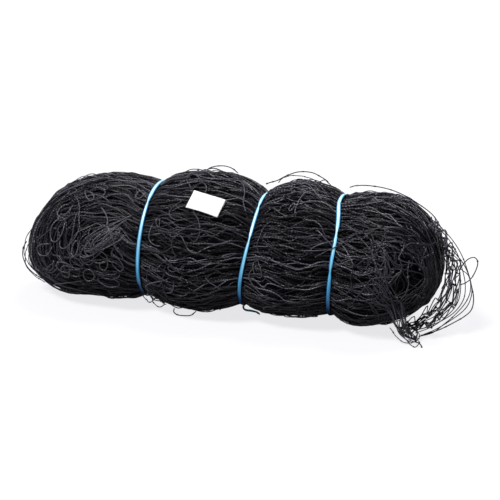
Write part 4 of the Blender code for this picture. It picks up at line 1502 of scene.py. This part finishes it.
def make_tie_knot(index):
    """Make one tie's knot: an overhand knot of rolled ribbon inside the CAD knot's box."""
    low, high = corners(f"tie_{index + 1}_knot")
    center = (low + high) / 2.0
    angle = math.radians(KNOT_PLACES[index])
    outward = np.array([0.0, math.cos(angle), math.sin(angle)])
    along = np.array([0.0, -outward[2], outward[1]])
    across = np.array([1.0, 0.0, 0.0])
    sweep = np.linspace(0.0, 2.0 * np.pi, 64, endpoint=False)
    size = 0.0023
    trefoil = (
        across * ((np.sin(sweep) + 2.0 * np.sin(2.0 * sweep)) * size * 0.62)[:, None]
        + along * ((np.cos(sweep) - 2.0 * np.cos(2.0 * sweep)) * size * 0.66)[:, None]
        + outward * (-np.sin(3.0 * sweep) * size * 0.42)[:, None]
    )
    line = center + trefoil
    ahead = np.roll(line, -1, 0) - np.roll(line, 1, 0)
    ahead /= np.linalg.norm(ahead, axis=1, keepdims=True)
    side = np.cross(ahead, outward)
    side /= np.linalg.norm(side, axis=1, keepdims=True)
    up = np.cross(side, ahead)
    sides = 10
    turn = 2.0 * np.pi * np.arange(sides) / sides
    folds = 0.0014 * (1.0 + 0.16 * np.cos(4.0 * turn[None, :] + 3.0 * sweep[:, None]))
    rings = rings_round(line, folds, side, up, turn)
    skein = Skein()
    # Painted shade in the hollows of the knot's folds and painted light on their ridges.
    shade = 0.40 + 0.12 * np.cos(4.0 * turn[None, :] + 3.0 * sweep[:, None])
    add_strip(skein, rings, sweep * size * 3.0, shade, closed=True)
    piece = skein.build(f"tie_{index + 1}_overhand", RAFFIA)
    ride_bend(piece)
    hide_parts(f"tie_{index + 1}_knot")


for number in range(3):
    make_tie(number, np.random.default_rng(SEED + 80 + number))
    make_tie_knot(number)


# ---------------------------------------------------------------- label
LABEL_LENGTH = 0.050
LABEL_WIDTH = 0.030
LABEL_FLAP = 0.008
FOLD_RADIUS = 0.0018
PAPER_THICKNESS = 0.0005


def label_frame():
    """Return the label's pivot and directions: along its twine, down the paper, out."""
    joint = next(j for j in frame["record"]["behaviour"]["joints"] if j["name"] == "label_swing")
    pivot = np.array(joint["pos_m"], float)
    twine = -np.array(joint["axis"], float)
    twine /= np.linalg.norm(twine)
    low, high = corners("label")
    toward = (low + high) / 2.0 - pivot
    down = toward - twine * (toward @ twine)
    down /= np.linalg.norm(down)
    outward = np.cross(down, twine)
    if outward[1] > 0.0:
        outward = -outward
    lift = math.asin(min(1.0, FOLD_RADIUS / (LABEL_WIDTH / 2.0)))
    return pivot, twine, down * math.cos(lift) - outward * math.sin(lift), outward


def make_label():
    """Make the label: thin paper folded back over its twine, a little curled."""
    pivot, twine, down, outward = label_frame()
    profile = []
    for step in range(11):
        sweep = -math.pi * step / 10.0
        profile.append((FOLD_RADIUS * math.sin(sweep), FOLD_RADIUS * math.cos(sweep)))
    front = [(reach, FOLD_RADIUS) for reach in np.linspace(LABEL_WIDTH - FOLD_RADIUS, 0.003, 10)]
    back = [(reach, -FOLD_RADIUS) for reach in np.linspace(0.003, LABEL_FLAP, 4)]
    profile = np.array(front + profile + back)
    columns = 25
    across = np.linspace(-0.5, 0.5, columns) * LABEL_LENGTH
    bm = bmesh.new()
    grid = []
    for side in across:
        curl = 0.0011 * (2.0 * side / LABEL_LENGTH) ** 2
        column = []
        for reach, lift in profile:
            bow = -curl * max(0.0, reach) / LABEL_WIDTH * np.sign(lift)
            bow += 0.0004 * math.sin(90.0 * side + 60.0 * reach)
            point = pivot + twine * side + down * reach + outward * (lift + bow)
            column.append(bm.verts.new(point))
        grid.append(column)
    for first, second in zip(grid, grid[1:]):
        for a, b, c, d in zip(first, second, second[1:], first[1:]):
            bm.faces.new((a, b, c, d))
    mesh = bpy.data.meshes.new("label_sheet")
    bm.to_mesh(mesh)
    bm.free()
    mesh.shade_smooth()
    mesh.materials.append(PAPER)
    piece = bpy.data.objects.new("label_sheet", mesh)
    bpy.context.scene.collection.objects.link(piece)
    thick = piece.modifiers.new("thick", "SOLIDIFY")
    thick.thickness = PAPER_THICKNESS
    thick.offset = 0.0
    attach(piece, "label")
    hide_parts("label")


def make_label_twine():
    """Make the strand of netting that the label hangs on."""
    pivot, twine, _, outward = label_frame()
    points = [
        pivot + twine * (side * LABEL_LENGTH / 2.0) - outward * dip
        for side, dip in ((-1.55, 0.0040), (-1.25, 0.0008), (-1.0, 0.0), (-0.4, 0.0),
                          (0.4, 0.0), (1.0, 0.0), (1.25, 0.0008), (1.55, 0.0040))
    ]
    route, length = smooth_route(points, 0.0016)
    skein = Skein()
    add_tubes([skein], everything, route[None], TWINE / 2.0, steady_hint(route), np.array([0.6]), 8)
    piece = skein.build("label_twine_strand", NET)
    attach(piece, "lobe_2")
    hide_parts("label_twine")


make_label()
make_label_twine()


# ---------------------------------------------------------------- floor and light
def show_camera(tree, lighting, seen, output):
    """Let one shader light the object and another be what the camera sees."""
    rays = tree.nodes.new("ShaderNodeLightPath").outputs["Is Camera Ray"]
    choose = add_node(tree, "MixShader", {"Fac": rays, 1: lighting.outputs[0], 2: seen.outputs[0]})
    feed(tree, tree.nodes[output], {"Surface": choose.outputs[0]})


def make_stage():
    """Make a plain pale floor and soft light from above."""
    bpy.ops.mesh.primitive_plane_add(size=12.0, location=(0.0, 0.0, 0.0))
    floor = bpy.context.object
    floor.name = "floor"
    material, tree, shader = new_material("floor")
    noise = add_node(tree, "TexNoise", {"Scale": 3.0}).outputs["Fac"]
    feed(tree, shader, {
        "Base Color": add_mix(tree, noise, (0.90, 0.90, 0.91), (0.93, 0.93, 0.93)),
        "Roughness": 0.9,
    })
    glow = add_node(tree, "Emission", {"Color": (0.97, 0.97, 1.0, 1.0), "Strength": 1.0})
    lit = add_node(tree, "MixShader", {"Fac": 0.80, 1: shader.outputs[0], 2: glow.outputs[0]})
    dull = add_node(tree, "BsdfDiffuse", {"Color": (0.35, 0.35, 0.37, 1.0)})
    show_camera(tree, dull, lit, "Material Output")
    floor.data.materials.append(material)
    world = bpy.data.worlds.new("world")
    bpy.context.scene.world = world
    world.use_nodes = True
    tree = world.node_tree
    dim = tree.nodes["Background"]
    feed(tree, dim, {"Color": (0.97, 0.98, 1.0, 1.0), "Strength": 0.24})
    seen = add_node(tree, "Background", {"Color": (1.0, 1.0, 1.0, 1.0), "Strength": 1.0})
    show_camera(tree, dim, seen, "World Output")
    suns = (
        ("key", (-0.35, -0.55, 1.0), 14.0, 3.4),
        ("top", (0.25, 0.35, 1.0), 20.0, 1.4),
    )
    for name, place, spread, strength in suns:
        data = bpy.data.lights.new(name, "SUN")
        data.angle = math.radians(spread)
        data.energy = strength
        light = bpy.data.objects.new(name, data)
        light.location = place
        light.rotation_euler = (-Vector(place)).to_track_quat("-Z", "Y").to_euler()
        bpy.context.scene.collection.objects.link(light)
    bpy.context.scene.view_settings.view_transform = "Standard"


make_stage()
